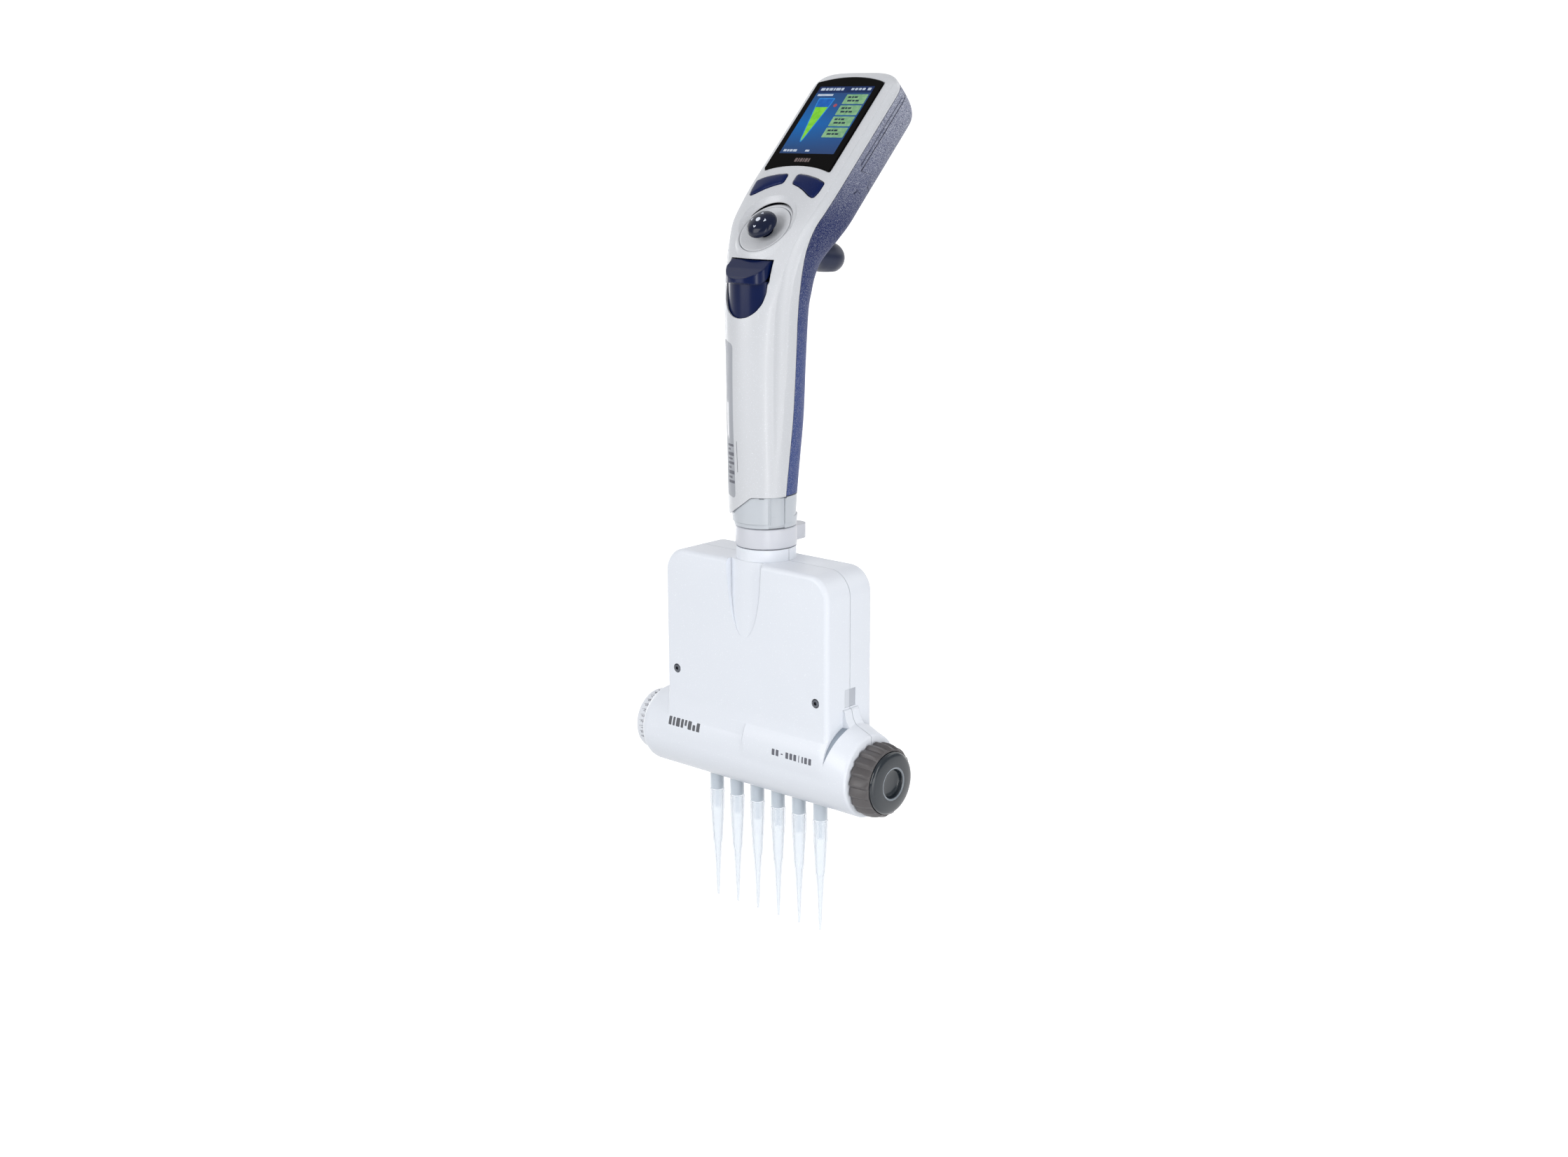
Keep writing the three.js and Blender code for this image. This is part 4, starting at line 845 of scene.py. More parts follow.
def emit(name, cols, strength=0.55, vertical=None, rough=0.12):
    t = Tree(name)
    p = t.n("ShaderNodeBsdfPrincipled")
    if vertical:
        sep = t.n("ShaderNodeSeparateXYZ")
        t.link(t.obj, sep.inputs[0])
        mid = vertical[0] * 0.55 + vertical[1] * 0.45
        f = t.ramp(sep.outputs["Z"], vertical[0], mid)
        g = t.ramp(sep.outputs["Z"], mid, vertical[1])
        x = t.ramp(sep.outputs["X"], -0.012, 0.016)
        c = t.mix(f, lin(cols[0]), lin(cols[1]))
        c = t.mix(g, c, lin(cols[2]))
        c = t.mix(t.math("MULTIPLY", x, 0.5), c, lin(cols[3]))
    else:
        c = t.mix(t.ramp(t.noise(500, 2), 0.4, 0.6), lin(cols[0]), lin(cols[-1]))
    # fine pixel grid
    grid = t.n("ShaderNodeTexBrick")
    grid.offset = 0.0
    grid.inputs["Scale"].default_value = 4000
    grid.inputs["Mortar Size"].default_value = 0.06
    grid.inputs["Brick Width"].default_value = 1.0
    grid.inputs["Row Height"].default_value = 1.0
    grid.inputs["Color1"].default_value = (1, 1, 1, 1)
    grid.inputs["Color2"].default_value = (0.96, 0.96, 0.96, 1)
    grid.inputs["Mortar"].default_value = (0.8, 0.8, 0.8, 1)
    t.link(t.obj, grid.inputs["Vector"])
    mul = t.n("ShaderNodeMix", data_type="RGBA", blend_type="MULTIPLY")
    mul.inputs[0].default_value = 1.0
    t.link(c, mul.inputs[6])
    t.link(grid.outputs["Color"], mul.inputs[7])
    c = mul.outputs[2]
    t.link(c, p.inputs["Base Color"])
    t.link(c, p.inputs["Emission Color"])
    p.inputs["Emission Strength"].default_value = strength
    p.inputs["Roughness"].default_value = rough
    p.inputs["Specular IOR Level"].default_value = 0.12
    t.link(p.outputs[0], t.out.inputs["Surface"])
    return t.mat


zl, zh = (317.8 + 9 * 0.71 - 276) / 1000, (317.8 + 47 * 0.71 - 276) / 1000
M_LCD = emit("lcd_blue", [(36, 60, 100), (0, 96, 168), (34, 62, 104), (44, 66, 112)], 0.2, (zl, zh))
M_LCDT = emit("lcd_title", [(10, 34, 78), (12, 40, 90)], 0.12)
M_LCDG = emit("lcd_green", [(112, 190, 44), (128, 204, 60)], 0.2)
M_LCDC = emit("lcd_cyan", [(34, 122, 200), (44, 132, 208)], 0.15)
M_LCDP = emit("lcd_pale", [(116, 164, 122), (136, 180, 134)], 0.12)
M_LCDW = emit("lcd_white", [(176, 190, 208), (190, 202, 218)], 0.12)
M_LCDR = emit("lcd_red", [(156, 70, 84), (166, 76, 90)], 0.1)
M_LCDD = emit("lcd_dark", [(20, 40, 60), (26, 48, 70)], 0.1)


def plate(outline, n0, n1):
    return prism(outline, n0, n1, HEAD)


def rect(x0, x1, t0, t1, r=0.0):
    p = [(x0, t0), (x1, t0), (x1, t1), (x0, t1)]
    return fillet(p, r, 4) if r else p


LX, L0, L1 = 14.7, 9.4, 47.0
piece("screen_panel", plate(rect(-LX, LX, L0, L1, 0.3), 0.02, 0.09), M_LCD, "handle")
piece("screen_title", plate(rect(-LX, LX, 43.4, L1, 0.3), 0.06, 0.11), M_LCDT, "handle")
# generic marks in the title row: short bars, no letters
bars = []
x = -13.4
for w in (2.2, 1.4, 1.9, 0.9, 2.4, 1.3):
    bars.append(plate(rect(x, x + w, 44.7, 46.1, 0.15), 0.08, 0.13))
    x += w + 0.45
x = 3.0
for w in (1.5, 1.5, 1.5, 1.5):
    bars.append(plate(rect(x, x + w, 44.8, 46.0, 0.3), 0.08, 0.13))
    x += w + 0.5
bars.append(plate(rect(11.8, 13.6, 44.7, 46.1, 0.2), 0.08, 0.13))
bars.append(plate(rect(-13.4, -5.0, 41.6, 42.7, 0.15), 0.08, 0.12))
x = -13.2
for w in (1.6, 1.0, 1.4, 2.0):
    bars.append(plate(rect(x, x + w, 10.4, 11.6, 0.15), 0.08, 0.12))
    x += w + 0.4
bars.append(plate(rect(-1.4, 0.8, 10.5, 11.5, 0.15), 0.08, 0.12))
piece("screen_marks", join(*bars), M_LCDW, "handle")
# tip picture: light outline, cyan air space, green liquid
tip_o = [(-11.6, 40.4), (-2.6, 40.4), (-3.2, 35.0), (-6.2, 17.4), (-7.1, 14.8), (-8.0, 17.4), (-11.0, 35.0)]
piece("screen_tip_line", plate(fillet(tip_o, [0.6, 0.6, 1, 0.5, 0.5, 0.5, 1], 4), 0.05, 0.11), M_LCDC, "handle")
piece("screen_tip_air", plate([(-10.9, 39.8), (-3.3, 39.8), (-3.8, 35.2), (-10.4, 35.2)], 0.08, 0.14),
      emit("lcd_sky", [(18, 86, 168), (22, 96, 178)], 0.15), "handle")
piece("screen_tip_fill", plate([(-10.5, 35.4), (-3.7, 35.4), (-6.6, 18.0), (-7.1, 16.2), (-7.6, 18.0)], 0.08, 0.14), M_LCDG, "handle")
an = np.linspace(0, 2 * math.pi, 25)[:-1]
piece("screen_dot", plate([(-0.3 + 0.9 * math.cos(a), 36.2 + 0.9 * math.sin(a)) for a in an], 0.08, 0.14), M_LCDR, "handle")
boxes, lines = [], []
for k in range(4):
    t1 = 42.4 - k * 6.2
    boxes.append(plate(rect(2.6 - 0.0 * k, 14.0, t1 - 5.4, t1, 0.4), 0.07, 0.13))
    for j, (a, b) in enumerate(((4.0, 9.4), (4.6, 11.8))):
        xx = a
        for w in ((1.6, 1.0, 1.7), (2.2, 1.3, 1.8))[j]:
            if xx + w > b:
                break
            lines.append(plate(rect(xx, xx + w, t1 - 2.0 - 2.0 * j, t1 - 1.1 - 2.0 * j, 0.1), 0.11, 0.16))
            xx += w + 0.4
piece("screen_boxes", join(*boxes), M_LCDP, "handle")
piece("screen_lines", join(*lines), M_LCDD, "handle")

wb, x = [], -3.9
for w_ in (1.3, 0.7, 1.2, 0.6, 1.3, 0.8):
    wb.append(plate(rect(x, x + w_, 4.9, 6.9, 0.12), 0.02, 0.09))
    x += w_ + 0.42
piece("window_bars", join(*wb), M_WIN, "handle")

# ------------------------------------------------------------------ keys and joystick
key_levels = [(0.35, -0.4), (0.36, 0.05), (0.5, 0.32), (0.8, 0.5), (1.3, 0.58, 0.12)]
kr = pad(KEY_OUT, HEAD, OUT_TREE, key_levels, 8, 0, 20, -4.6)
kl = pad(np.array(mirror(KEY_OUT)), HEAD, OUT_TREE, key_levels, 8, 0, 20, -4.6)
piece("key_right", kr, M_NAVY, "right_key", ["soft_key_right"])
piece("key_left", kl, M_NAVY, "left_key", ["soft_key_left"])

dish = [(3.0, -2.1), (8.2, -2.0), (9.2, -2.6), (11.75, -2.6), (11.78, -0.22), (11.7, -0.04), (11.45, 0.02), (11.1, -0.04), (10.4, -0.32), (9.4, -0.68), (8.2, -1.0), (6.8, -1.26),
        (5.2, -1.44), (3.8, -1.54), (3.2, -1.6), (3.0, -1.7)]
piece("joystick_ring", turned(dish, 96, JOY), M_WHITE, "handle", ["joystick_dish"])
capp = [(0, -6.4), (2.4, -6.4), (2.4, -1.0), (2.6, 0.2), (3.4, 0.95), (4.8, 1.2), (5.9, 1.3), (6.35, 1.5), (6.56, 1.85), (6.62, 2.3), (6.6, 2.8), (6.42, 3.35), (6.05, 3.95),
        (5.5, 4.5), (4.7, 4.98), (3.7, 5.35), (2.6, 5.6), (1.4, 5.73), (0.6, 5.76), (0, 5.76)]
cap_vf = turned(capp, 80, JOY)
piece("joystick_dome", cap_vf, M_DOME, "joystick", ["joystick_cap"])
cap_tree = bvh(cap_vf)
marks = [pad([(1.05 * math.cos(a), 1.05 * math.sin(a)) for a in an], JOY, cap_tree, [(0, 0.0), (0.05, 0.06)], 3, 0, 20, -0.1)]
for k in range(4):
    a0 = k * math.pi / 2
    ca, sa = math.cos(a0), math.sin(a0)
    tri = fillet([(2.9, -1.1), (4.1, 0.0), (2.9, 1.1), (3.3, 0.0)], [0.15, 0.2, 0.15, 0.1], 3)
    tri = resample([(x * ca - y * sa, x * sa + y * ca) for x, y in tri], 28)
    c = tri.mean(0)
    marks.append(pad(tri, JOY, cap_tree, [(0, 0.0), (0.03, 0.06)], 2, 0, 20, -0.1))
piece("joystick_marks", join(*marks), M_INKW, "joystick")

# ------------------------------------------------------------------ ejector button
ledge_o = fillet([(-8.2, 283.5), (-12.0, 280.4), (-16.2, 277.4), (-17.9, 276.3), (-17.9, 275.0), (-15.2, 274.5), (-12.9, 274.6), (-9.6, 277.0),
                  (-7.0, 280.6), (-6.8, 283.5)], [0, 9, 5, 0.6, 0.7, 1.0, 1.0, 3, 2, 0], 6)
ledge = csg(prism(ledge_o, -10.4, 10.4, SIDE), ("&", bar("z", 11.8, 270, 295, 0, -5.9, seg=128)))
skirt = csg(bar("z", 15.0, 254.6, 275.4, seg=128), ("-", bar("z", 12.8, 250, 280, seg=96)), ("&", block(-10.5, 10.5, -20, -7.6, 254.6, 275.4)))
piece("eject_button", csg(skirt, ("+", ledge)), M_BTN, "ejector", ["ejector_button"])

# ------------------------------------------------------------------ nose and collar
nose_skin = csg(handle(0, 48, 4, 4), ("&", block(-30, 30, -30, 30, 176.2, 187.7)))
nose = csg(bar("z", 13.0, 174.3, 178.6, 0, -0.4, 13.3, 96), ("+", csg(nose_skin, ("&", bar("z", 13.4, 174, 190, 0, -0.9, 13.9, 96)))),
           ("&", block(-30, 30, -30, 30, 174.3, 187.7)), ("&", lip(0.3)),
           ("+", bar("z", 9.1, 160.6, 176, seg=64)), ("-", bar("z", 7.6, 150, 200, seg=64)), ("-", bar("z", 11.4, 180.2, 200, 0, -0.4, seg=64)),
           ("-", block(-4.5, 4.5, 9.5, 20, 176.0, 181.4)),
           ("-", wedge(53, 81, 12.75, 20, 175.3, 190)), ("-", wedge(-81, -53, 12.75, 20, 175.3, 190)),
           ("-", wedge(50, 82, 12.0, 20, 174.0, 174.95)), ("-", wedge(-82, -50, 12.0, 20, 174.0, 174.95)),
           ("-", wedge(33, 41, 11.0, 20, 187.05, 190)), ("-", wedge(58, 84, 11.0, 20, 186.95, 190)),
           ("-", wedge(-84, -58, 11.0, 20, 186.95, 190)),
           ("+", csg(wedge(49.6, 51.6, 12.2, 13.95, 176.2, 186.6), ("&", bar("z", 13.95, 174, 190, 0, -0.9, seg=96)))))
post = csg(bar("z", 9.2, 178.6, 187.7, seg=64), ("-", bar("z", 7.6, 170, 190, seg=64)))
piece("nose", join(nose), M_NOSE, "handle", ["nose_piece"])
piece("nose_liner", csg(handle(2.05, 48, 4, 4), ("&", block(-30, 30, -30, 30, 179.2, 187.5)), ("-", bar("z", 11.45, 170, 200, 0, -0.4, seg=64))), M_NOSE, "handle")
piece("latch_button", prism(fillet([(-4.1, 176.4), (4.1, 176.4), (4.1, 181.0), (-4.1, 181.0)], 0.8, 4), 10.2, 14.2, REAR), M_MANI, "latch", ["latch_tab"])
collar = [(9.4, 165.4), (12.0, 165.4), (12.5, 165.5), (12.8, 165.8), (12.9, 166.2), (12.9, 173.0), (12.8, 173.5), (12.5, 173.8), (12.0, 173.9), (9.4, 173.9)]
lobe = fillet([(-5, 10.2), (5, 10.2), (4.7, 19.2), (3.3, 21.5), (0, 22.5), (-3.3, 21.5), (-4.7, 19.2)], [0, 0, 3, 3, 4, 3, 3], 5)
piece("collar_ring", csg(turned(collar, 96), ("+", prism(lobe, 165.4, 171.6))), M_COLLAR, "manifold", ["swivel_collar"])


# ------------------------------------------------------------------ manifold housing
def box_body(ins):
    R, C = 2.2, 10.5      # edge fillet, top corner radius
    ysl = []
    m = 8
    hy = BOX_Y - ins
    for k in range(m + 1):
        a = math.pi / 2 * k / m
        ysl.append((-hy + R * (1 - math.sin(a)), R * (1 - math.cos(a))))
    ysl = ysl[::-1] if ysl[0][0] > ysl[-1][0] else ysl
    front_side = sorted(ysl)
    slices = front_side + [(-y, d) for y, d in reversed(front_side)]
    rings = []
    for y, d in slices:
        hx, top = BOX_X - ins - d, BOX_TOP - ins - d
        c = max(0.8, C - d)
        o = [(-hx, 74), (hx, 74)]
        for k in range(13):
            a = math.pi / 2 * k / 12
            o.append((hx - c + c * math.cos(a), top - c + c * math.sin(a)))
        for k in range(13):
            a = math.pi / 2 + math.pi / 2 * k / 12
            o.append((-hx + c + c * math.cos(a), top - c + c * math.sin(a)))
        rings.append([(x, y, z) for x, z in o])
    return skin(rings)


def fairing(ins):
    """body of the box just above the barrel, running out over it front and back"""
    rings = []
    R = 2.2
    hx = BOX_X - ins
    for z in np.linspace(74.6, 97, 26):
        u = min(1, max(0, (z - 76.5) / 19.5))
        s = u * u * (3 - 2 * u)
        hy = (16.75 * (1 - s) + BOX_Y * s) - ins
        o = []
        for sx, sy, a0 in ((1, -1, -90), (1, 1, 0), (-1, 1, 90), (-1, -1, 180)):
            for k in range(9):
                a = rad(a0 + 90 * k / 8)
                o.append((sx * (hx - R) + R * math.cos(a), sy * (hy - R) + R * math.sin(a), z))
        rings.append(o)
    return skin(rings)


def barrel(ins):
    rings = []
    if ins > 1:
        xs = np.linspace(-58.3, 55.8, 60)
    else:
        xs = np.r_[-61.5, -61.35, -61.0, -60.5, np.linspace(-60, 56, 90), 56.5, 57.0, 57.3, 57.4]
    for x in xs:
        ax = abs(x)
        flare = max(0.0, min(1.0, (61 - ax) / 17)) if ax > 44 else 1.0
        flare = 0.0 if ins > 1 else (flare ** 1.2) * (6.8 if x > 0 else 3.9)
        e = 0.0
        if ins < 1:
            end = min(x + 61.5, 57.4 - x)
            if x > 0 and end < 1.0:
                e = 1.0 - math.sqrt(max(0, 1 - (1 - end) ** 2))
            if x < 0 and end < 4.2:
                e = 2.6 * (1 - end / 4.2) ** 2.0 + (0.35 * (1 - end / 0.6) ** 2 if end < 0.6 else 0)
        p = []
        for j in range(96):
            a = 2 * math.pi * j / 96
            up = max(0.0, math.sin(a))
            r = BARREL_R - ins - e + flare * up ** 1.3
            p.append((x, r * math.cos(a), BARREL_Z + r * math.sin(a)))
        rings.append(p)
    return skin(rings)


solid_h = csg(box_body(0), ("+", fairing(0)), ("+", barrel(0)), ("+", bar("z", 12.6, 156, 165.1, seg=96)))
hollow = csg(box_body(1.8), ("+", fairing(1.8)), ("+", barrel(1.8)))
flute = []
for z in np.linspace(127.6, 163.6, 60):
    u = (163.6 - z) / 36.05
    w = 9.9 * max(0.0, 1 - u ** 2.2) ** 0.5
    ds, dc = 3.5 * (1 - u ** 1.5), 1.75 * (1 - u ** 1.5)
    xs = np.linspace(-1, 1, 31)
    ys_ = ds + (dc - ds) * (1 - xs ** 2)
    floor_ = [(x * w, -BOX_Y + y, z) for x, y in zip(xs, ys_)]
    flute.append([(-w, -BOX_Y - 3, z)] + floor_ + [(w, -BOX_Y - 3, z)])
backing = csg(bar("z", 12.6, 150, 162, seg=96), ("+", block(-12, 12, -14, -9.2, 124, 161)), ("&", block(-12, 12, -14, -9.2, 124, 161)))
hollow = csg(hollow, ("-", backing))
shoulder = [(17.2, 45.8), (17.2, 47.2), (17.4, 48.6), (17.9, 49.8), (18.7, 50.7), (19.8, 51.3), (22.0, 51.8), (26, 52.2), (26, 45.8)]


def lifted(vf):
    """the groove climbs with the flared shoulder and runs out towards the front"""
    V = np.array(vf[0])
    V[:, 2] += 3.6
    V[:, 0] -= 0.24 * np.maximum(0.0, BARREL_Z + 19.0 - V[:, 2])
    return V, vf[1]


side_r = csg(lifted(turned(shoulder, 128, ALONG_X)), ("&", block(45.9, 80, -30, 30, BARREL_Z + 6.0, 120)))
tab_o = fillet([(44.6, 94.6), (50.8, 94.6), (49.0, 96.6), (47.6, 98.9), (47.0, 102.0), (46.4, 102.7), (44.6, 102.7)], [0, 0, 5, 5, 0.5, 0.3, 0], 4)
house = csg(solid_h, ("-", hollow), ("-", bar("z", 9.4, 150, 170, seg=64)), ("-", block(-53.6, 53.6, -3.9, 3.9, 50, 66)),
            ("-", bar("x", 10.4, -70, -50, 0, BARREL_Z, seg=64)), ("-", bar("x", 10.4, 50, 70, 0, BARREL_Z, seg=64)),
            ("-", block(40, 50, -3.2, 3.6, 103.4, 111)), ("-", block(-50, -40, -3.2, 3.6, 103.4, 111)),
            ("-", skin(flute)), ("-", side_r),
            ("-", bar("y", 2.0, -20, -13.2, -39.5, 106.7)), ("-", bar("y", 1.5, -20, -11, -39.5, 106.7)),
            ("-", bar("y", 2.0, -20, -13.2, 39.5, 106.7)), ("-", bar("y", 1.5, -20, -11, 39.5, 106.7)),
            ("+", prism(tab_o, -4.8, 4.6, FRONT)), ("+", prism(mirror(tab_o), -4.8, 4.6, FRONT)))
fh = csg(house, ("&", block(-80, 80, -40, -0.12, 40, 200)))
rh = csg(house, ("&", block(-80, 80, 0.12, 40, 40, 200)))
piece("manifold_front", fh, M_MANI, "manifold", ["front_housing"])
piece("manifold_rear", rh, M_MANI, "manifold", ["rear_housing"])
# painted shade: a thin grey liner laid in the cut groove, where the white housing falls into shade
liner = [(17.12, 45.86), (17.26, 45.86), (17.26, 47.2), (17.46, 48.6), (17.96, 49.74), (18.76, 50.62), (19.7, 51.1), (19.7, 51.3), (18.6, 50.8), (17.8, 49.9), (17.3, 48.7), (17.12, 47.2)]
piece("shoulder_groove_shade", csg(lifted(turned(liner, 160, ALONG_X)), ("&", block(46.0, 80, -30, 30, BARREL_Z + 6.1, 120)), ("&", barrel(0.12)), ("-", prism(tab_o, -4.9, 4.7, FRONT))),
      M_GROOVE_SHADE, "manifold")

fh_tree = bvh(fh)
marks_ = []
x = -43.0
for w_, z_a, z_b in ((1.7, 81.1, 84.8), (1.3, 81.1, 84.8), (2.2, 81.1, 84.8), (1.5, 81.1, 84.8), (1.3, 82.3, 84.8), (2.1, 81.1, 84.8), (1.6, 81.1, 83.6), (1.9, 81.1, 84.8)):
    marks_.append(pad(resample(fillet([(x, z_a), (x + w_, z_a), (x + w_, z_b), (x, z_b)], 0.15, 2), 28), FRONT, fh_tree, [(0, 0.0), (0.04, 0.05)], 2, 14.4, 30, -0.1))
    x += w_ + 0.7
piece("front_bars", join(*marks_), M_INKD, "manifold")
marks_ = []
for x, w_, z_a, z_b in ((18.2, 1.5, 80.9, 83.6), (20.4, 1.5, 80.9, 83.6), (23.2, 1.1, 82.0, 82.5), (25.8, 1.5, 80.9, 83.6), (28.0, 1.5, 80.9, 83.6), (30.2, 1.5, 80.9, 83.6),
                        (32.9, 0.4, 80.7, 83.8), (34.6, 0.8, 80.9, 83.6), (36.1, 1.5, 80.9, 83.6), (38.3, 1.5, 80.9, 83.6)):
    o_ = resample(fillet([(x, z_a), (x + w_, z_a), (x + w_, z_b), (x, z_b)], 0.12, 2), 24)
    marks_.append(pad(o_, FRONT, fh_tree, [(0, 0.0), (0.03, 0.05)], 2, 14.4, 30, -0.1))
piece("front_lines", join(*marks_), M_INK, "manifold")

for s_ in (1, -1):
    side = "right" if s_ > 0 else "left"
    a_, b_ = sorted((s_ * 44.2, s_ * 45.45))
    piece(f"side_pane_{side}", block(a_, b_, -0.2, 3.6, 103.4, 111.0), M_PANE, "manifold")
    a_, b_ = sorted((s_ * 44.2, s_ * 45.6))
    piece(f"side_frame_{side}", block(a_, b_, -3.2, -0.2, 103.4, 111.0), M_PANEL, "manifold")

for i, x in ((1, -39.5), (2, 39.5)):
    head = turned([(0, 12.0), (1.2, 12.0), (1.2, 13.5), (1.5, 13.5), (1.75, 13.65), (1.8, 13.9), (1.75, 14.2), (1.5, 14.42), (1.0, 14.5), (0, 14.5)], 48,
                  basis((1, 0, 0), (0, 0, 1), (0, -1, 0), (x, 0, 106.7)))
    star = [((0.95 if k % 2 else 0.62) * math.cos(math.pi * k / 6), (0.95 if k % 2 else 0.62) * math.sin(math.pi * k / 6)) for k in range(12)]
    piece(f"screw_{i}", csg(head, ("-", prism([(x + a, 106.7 + b) for a, b in star], 13.7, 15, FRONT))), M_DSCREW, "manifold", [f"housing_screw_{i}"])

# ------------------------------------------------------------------ knob, cap, dial
lobes, N = 20, 20 * 16
rings = []
for x, d, dep in ((57.7, 1.3, 0.3), (57.85, 0.75, 0.6), (58.2, 0.25, 0.9), (59.0, 0.0, 1.0), (61.0, 0.0, 1.0), (63.0, 0.12, 1.0), (64.6, 0.4, 0.95),
                  (65.7, 0.8, 0.85), (66.4, 1.15, 0.6), (66.85, 1.6, 0.3), (67.0, 2.1, 0.1)):
    p = []
    for j in range(N):
        a = 2 * math.pi * j / N
        ph = (j % (N // lobes)) / (N // lobes)
        saw = ph if ph < 0.72 else (1 - ph) / 0.28 * 0.72
        groove = (1 - saw / 0.72) ** 1.1
        r = 15.6 - d - 1.15 * groove * dep
        p.append((x, r * math.cos(a), BARREL_Z + r * math.sin(a)))
    rings.append(p)
knob = csg(skin(rings), ("-", bar("x", 13.2, 61.5, 70, 0, BARREL_Z, seg=128)), ("-", bar("x", 4.3, 50, 70, 0, BARREL_Z, seg=48)))
piece("knob_grip", knob, M_KNOB, "spacer", ["spacing_knob"], sharp=28)
capx = [(0, 61.8), (12.9, 61.8), (13.0, 66.8), (13.0, 67.5), (12.85, 67.95), (12.5, 68.3), (11.9, 68.55), (11.0, 68.75), (9.8, 68.95), (8.4, 69.1), (7.2, 69.16), (6.5, 69.1), (6.15, 68.9),
        (5.95, 68.5), (5.8, 67.9), (5.5, 67.3), (4.9, 66.95), (3.6, 66.7), (1.6, 66.6), (0, 66.6)]
piece("knob_face", turned(capx, 128, ALONG_X), M_CAP, "spacer", ["knob_cap"])
# the hub crater's rim, coloured light grey as a painted highlight
ringp = [(5.35, 66.6), (5.85, 67.4), (6.1, 68.3), (6.28, 68.98), (6.6, 69.18), (7.0, 69.2), (7.0, 69.0), (6.2, 68.2), (5.95, 67.2), (5.6, 66.5)]
piece("knob_hub_highlight_ring", turned(ringp, 96, ALONG_X), M_HUB_RIM_HIGHLIGHT, "spacer")
dialp = [(4.3, -66.6), (12.7, -66.6), (13.2, -66.5), (13.55, -66.2), (13.75, -65.7), (13.9, -62.6), (13.85, -62.2), (13.65, -61.8), (4.3, -61.8)]
piece("dial_ring", join(turned(dialp, 96, ALONG_X)), M_DIAL, "spacer", ["index_dial"])

SEG = {"0": "abcdef", "1": "bc", "2": "abged", "3": "abgcd", "4": "fgbc", "5": "afgcd", "6": "afgedc", "7": "abc", "8": "abcdefg", "9": "abcdfg"}
STROKE = {"a": (0, 1, 0, 2), "g": (0, 1, 0, 1), "d": (0, 1, 0, 0), "f": (0, 1, 1, 1), "b": (1, 1, 1, 1), "e": (0, 0, 1, 1), "c": (1, 0, 1, 1)}


def on_dial(u0, u1, v0, v1, ang):
    """thin patch on the dial rim: u along the barrel, v round it"""
    r0, r1 = 13.5, 14.0
    pts = []
    for r in (r0, r1):
        for u, v in ((u0, v0), (u1, v0), (u1, v1), (u0, v1)):
            a = rad(ang) + v / 13.9
            pts.append((-62.75 + u, -r * math.cos(a), BARREL_Z + r * math.sin(a)))
    F = [(0, 3, 2, 1), (4, 5, 6, 7), (0, 1, 5, 4), (1, 2, 6, 5), (2, 3, 7, 6), (3, 0, 4, 7)]
    return fix(np.array(pts), F)


digits = []
for k, val in enumerate(range(9, 20)):
    ang = -20 + k * 10.4
    text = str(val)
    h, wd, t_ = 1.3, 0.62, 0.15
    for q, ch in enumerate(text):
        v_off = (q - (len(text) - 1) / 2) * (wd + 0.34)
        for sg in SEG[ch]:
            if sg in "agd":
                y_ = {"a": h, "g": h / 2, "d": 0}[sg]
                digits.append(on_dial(y_ - t_ / 2 - h / 2, y_ + t_ / 2 - h / 2, -(v_off + wd / 2), -(v_off - wd / 2), ang))
            else:
                x_ = v_off + (wd / 2 if sg in "bc" else -wd / 2)
                y0_ = h / 2 if sg in "fb" else 0
                digits.append(on_dial(y0_ - h / 2, y0_, -(x_ + t_ / 2), -(x_ - t_ / 2), ang))
    digits.append(on_dial(-1.5, -1.05, -0.08, 0.08, ang))
piece("dial_numbers", join(*digits), M_DIG, "spacer")
hubp = [(0, -66.6), (4.2, -66.6), (4.2, -61.9), (0, -61.9)]
piece("dial_hub", turned(hubp, 48, ALONG_X), M_DIAL, "spacer")

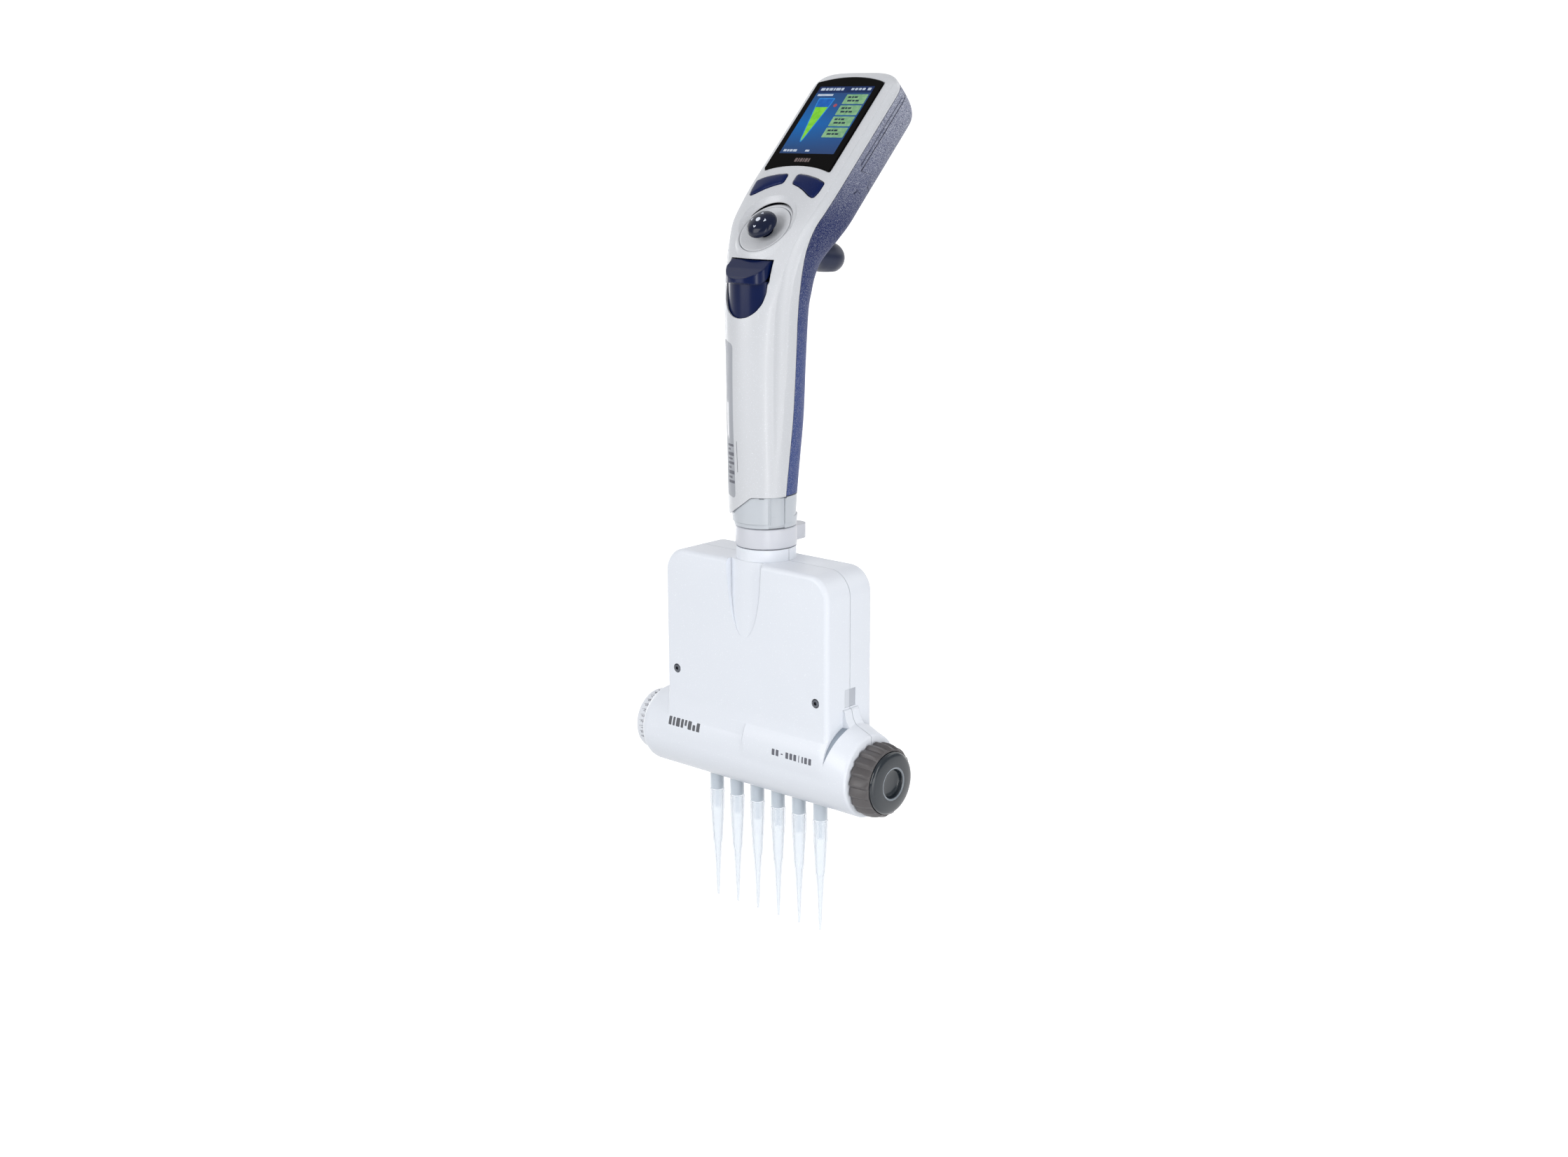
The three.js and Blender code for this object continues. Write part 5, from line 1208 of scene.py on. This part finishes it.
# ------------------------------------------------------------------ channels
for i in range(6):
    x = (i - 2.5) * PITCH
    T = basis((1, 0, 0), (0, 1, 0), (0, 0, 1), (x, 0, 0))
    body = csg(prism(fillet([(x - 4.1, -9), (x + 4.1, -9), (x + 4.1, 9), (x - 4.1, 9)], 0.8, 3), 63.6, 67.9),
               ("-", bar("x", 1.6, x - 5, x + 5, -7.2, 65.8, seg=24)), ("-", bar("x", 1.6, x - 5, x + 5, 7.2, 65.8, seg=24)),
               ("+", bar("z", 1.1, 67, 69.2, x, 0, seg=24)),
               ("+", turned([(0, 50.2), (2.0, 50.2), (2.15, 50.35), (2.15, 64), (0, 64)], 40, T)))
    piece(f"nozzle_{i+1}", body, M_CARR, f"channel_{i+1}", [f"nozzle_carriage_{i+1}"])
    piece(f"nozzle_cone_{i+1}", turned([(0.7, 41.6), (1.35, 41.6), (1.5, 42.0), (1.65, 43.2), (1.8, 43.6), (1.85, 44.6), (1.9, 46.0), (1.9, 50.15), (0.7, 50.15)], 40, T), M_NOZ,
          f"channel_{i+1}")
    sl = [(2.5, 50.4), (2.9, 50.4), (3.02, 50.55), (3.05, 50.8), (3.05, 60.2), (3.1, 60.6), (3.5, 60.7), (3.5, 61.5), (3.4, 61.6), (2.5, 61.6)]
    piece(f"sleeve_{i+1}", turned(sl, 48, T), M_SLEEVE, f"ejected_{i+1}", [f"ejector_sleeve_{i+1}"])
    tp = [(0.3, 0.0), (0.5, 0.0), (0.62, 0.25), (0.68, 1.0), (1.0, 8.0), (1.3, 14.6), (1.6, 20.0), (1.84, 24.4), (1.95, 24.9), (2.12, 25.3), (2.2, 25.9),
          (2.55, 33.0), (2.95, 40.4), (3.08, 41.0), (3.12, 42.0), (3.2, 46.0), (3.22, 48.3), (3.34, 48.6), (3.36, 49.6), (3.28, 49.95), (3.15, 50.0),
          (2.75, 50.0), (2.66, 49.8), (2.5, 41.5), (2.1, 33.0), (1.75, 26.0), (1.4, 24.6), (0.85, 14.2), (0.5, 4.0)]
    tp = [(r, z) for r, z in tp]
    piece(f"tip_clear_{i+1}", turned(tp, 48, T), M_TIP, f"ejected_{i+1}", [f"tip_{i+1}"])

# ------------------------------------------------------------------ stage
fm = Tree("pale_floor")
fp = fm.n("ShaderNodeBsdfPrincipled")
fm.link(fm.mix(fm.noise(3, 2), (0.93, 0.93, 0.935), (0.96, 0.96, 0.965)), fp.inputs["Base Color"])
fp.inputs["Roughness"].default_value = 0.16
fp.inputs["Specular IOR Level"].default_value = 0.35
fp.inputs["Emission Color"].default_value = (1, 1, 1, 1)
fp.inputs["Emission Strength"].default_value = 0.6
fm.link(fp.outputs[0], fm.out.inputs["Surface"])
z0 = -OFF[2] / 1000 - 0.0003
back = np.array([math.sin(rad(41.67)), -math.cos(rad(41.67)), 0])
side = np.array([math.cos(rad(41.67)), math.sin(rad(41.67)), 0])
prof = [(2.2, 0.0), (-0.9, 0.0)]
for k in range(1, 17):
    a = math.pi / 2 * k / 16
    prof.append((-0.9 - 0.9 * math.sin(a), 0.9 - 0.9 * math.cos(a)))
prof.append((-1.8, 3.2))
V, F = [], []
for d, h in prof:
    for s in (-3.0, 3.0):
        V.append(tuple(back * d + side * s + np.array([0, 0, z0 + h])))
for i in range(len(prof) - 1):
    F.append((2 * i, 2 * i + 1, 2 * i + 3, 2 * i + 2))
fme = bpy.data.meshes.new("floor")
fme.from_pydata(V, [], F)
for p in fme.polygons:
    p.use_smooth = True
floor = bpy.data.objects.new("floor", fme)
bpy.context.scene.collection.objects.link(floor)
fme.materials.append(fm.mat)

sc = bpy.context.scene
w = bpy.data.worlds.new("studio")
sc.world = w
w.use_nodes = True
wn = w.node_tree
bg = wn.nodes["Background"]
wc = wn.nodes.new("ShaderNodeTexCoord")
ws = wn.nodes.new("ShaderNodeSeparateXYZ")
wr = wn.nodes.new("ShaderNodeValToRGB")
wm = wn.nodes.new("ShaderNodeMapRange")
wm.inputs["From Min"].default_value, wm.inputs["From Max"].default_value = -1.0, 1.0
wn.links.new(wc.outputs["Generated"], ws.inputs[0])
wn.links.new(ws.outputs["Z"], wm.inputs["Value"])
wn.links.new(wm.outputs[0], wr.inputs[0])
wn.links.new(wr.outputs[0], bg.inputs[0])
el = wr.color_ramp.elements
el[0].position, el[0].color = 0.0, (0.42, 0.43, 0.44, 1)
el[1].position, el[1].color = 1.0, (0.60, 0.60, 0.61, 1)
e = el.new(0.42); e.color = (0.40, 0.41, 0.42, 1)
e = el.new(0.58); e.color = (0.42, 0.43, 0.44, 1)
e = el.new(0.78); e.color = (0.52, 0.52, 0.53, 1)
bg.inputs[1].default_value = 1.0
floor.visible_diffuse = False
floor.visible_shadow = False
sc.view_settings.view_transform = "Standard"
sc.view_settings.look = "None"


def work(p):
    return (np.asarray(p, float) - OFF) / 1000


def area(name, loc, target, size, energy, col=(1, 1, 1)):
    l = bpy.data.lights.new(name, "AREA")
    l.shape = "RECTANGLE"
    l.size, l.size_y = size
    l.energy = energy
    l.color = col
    o = bpy.data.objects.new(name, l)
    sc.collection.objects.link(o)
    o.location = work(loc)
    d = Vector(work(target)) - Vector(work(loc))
    o.rotation_euler = d.to_track_quat("-Z", "Y").to_euler()
    return o


area("key_soft", (-420, -980, 500), (0, 0, 180), (0.7, 0.7), 6.0)
area("fill_right", (950, -150, 300), (0, 0, 180), (0.35, 1.0), 3.9)
area("rim_back", (500, 800, 700), (0, 0, 220), (0.7, 0.5), 1.2)
area("strip_low", (705, -635, 60), (0, 0, 270), (0.09, 0.7), 2.4)
area("strip_left", (-915, 245, 60), (0, 0, 270), (0.10, 0.7), 1.0)

cam = bpy.data.cameras.new("camera")
cam.sensor_width = 36
cam.lens = 2800 / 2238 * 36
cam.clip_start, cam.clip_end = 0.05, 50
co = bpy.data.objects.new("camera", cam)
sc.collection.objects.link(co)
pitch, az, roll, dist = rad(13.69), rad(41.67), rad(-0.18), 818.33
tgt = np.array([9.83, 0, 151.86])
bk = np.array([math.sin(az) * math.cos(pitch), -math.cos(az) * math.cos(pitch), math.sin(pitch)])
right = np.array([math.cos(az), math.sin(az), 0])
up = np.cross(right, -bk)
cr, sr_ = math.cos(roll), math.sin(roll)
r2, u2 = cr * right + sr_ * up, -sr_ * right + cr * up
from mathutils import Matrix
co.matrix_world = Matrix((
    (*[r2[0], u2[0], bk[0]], work(tgt + bk * dist)[0]),
    (*[r2[1], u2[1], bk[1]], work(tgt + bk * dist)[1]),
    (*[r2[2], u2[2], bk[2]], work(tgt + bk * dist)[2]),
    (0, 0, 0, 1)))
sc.camera = co
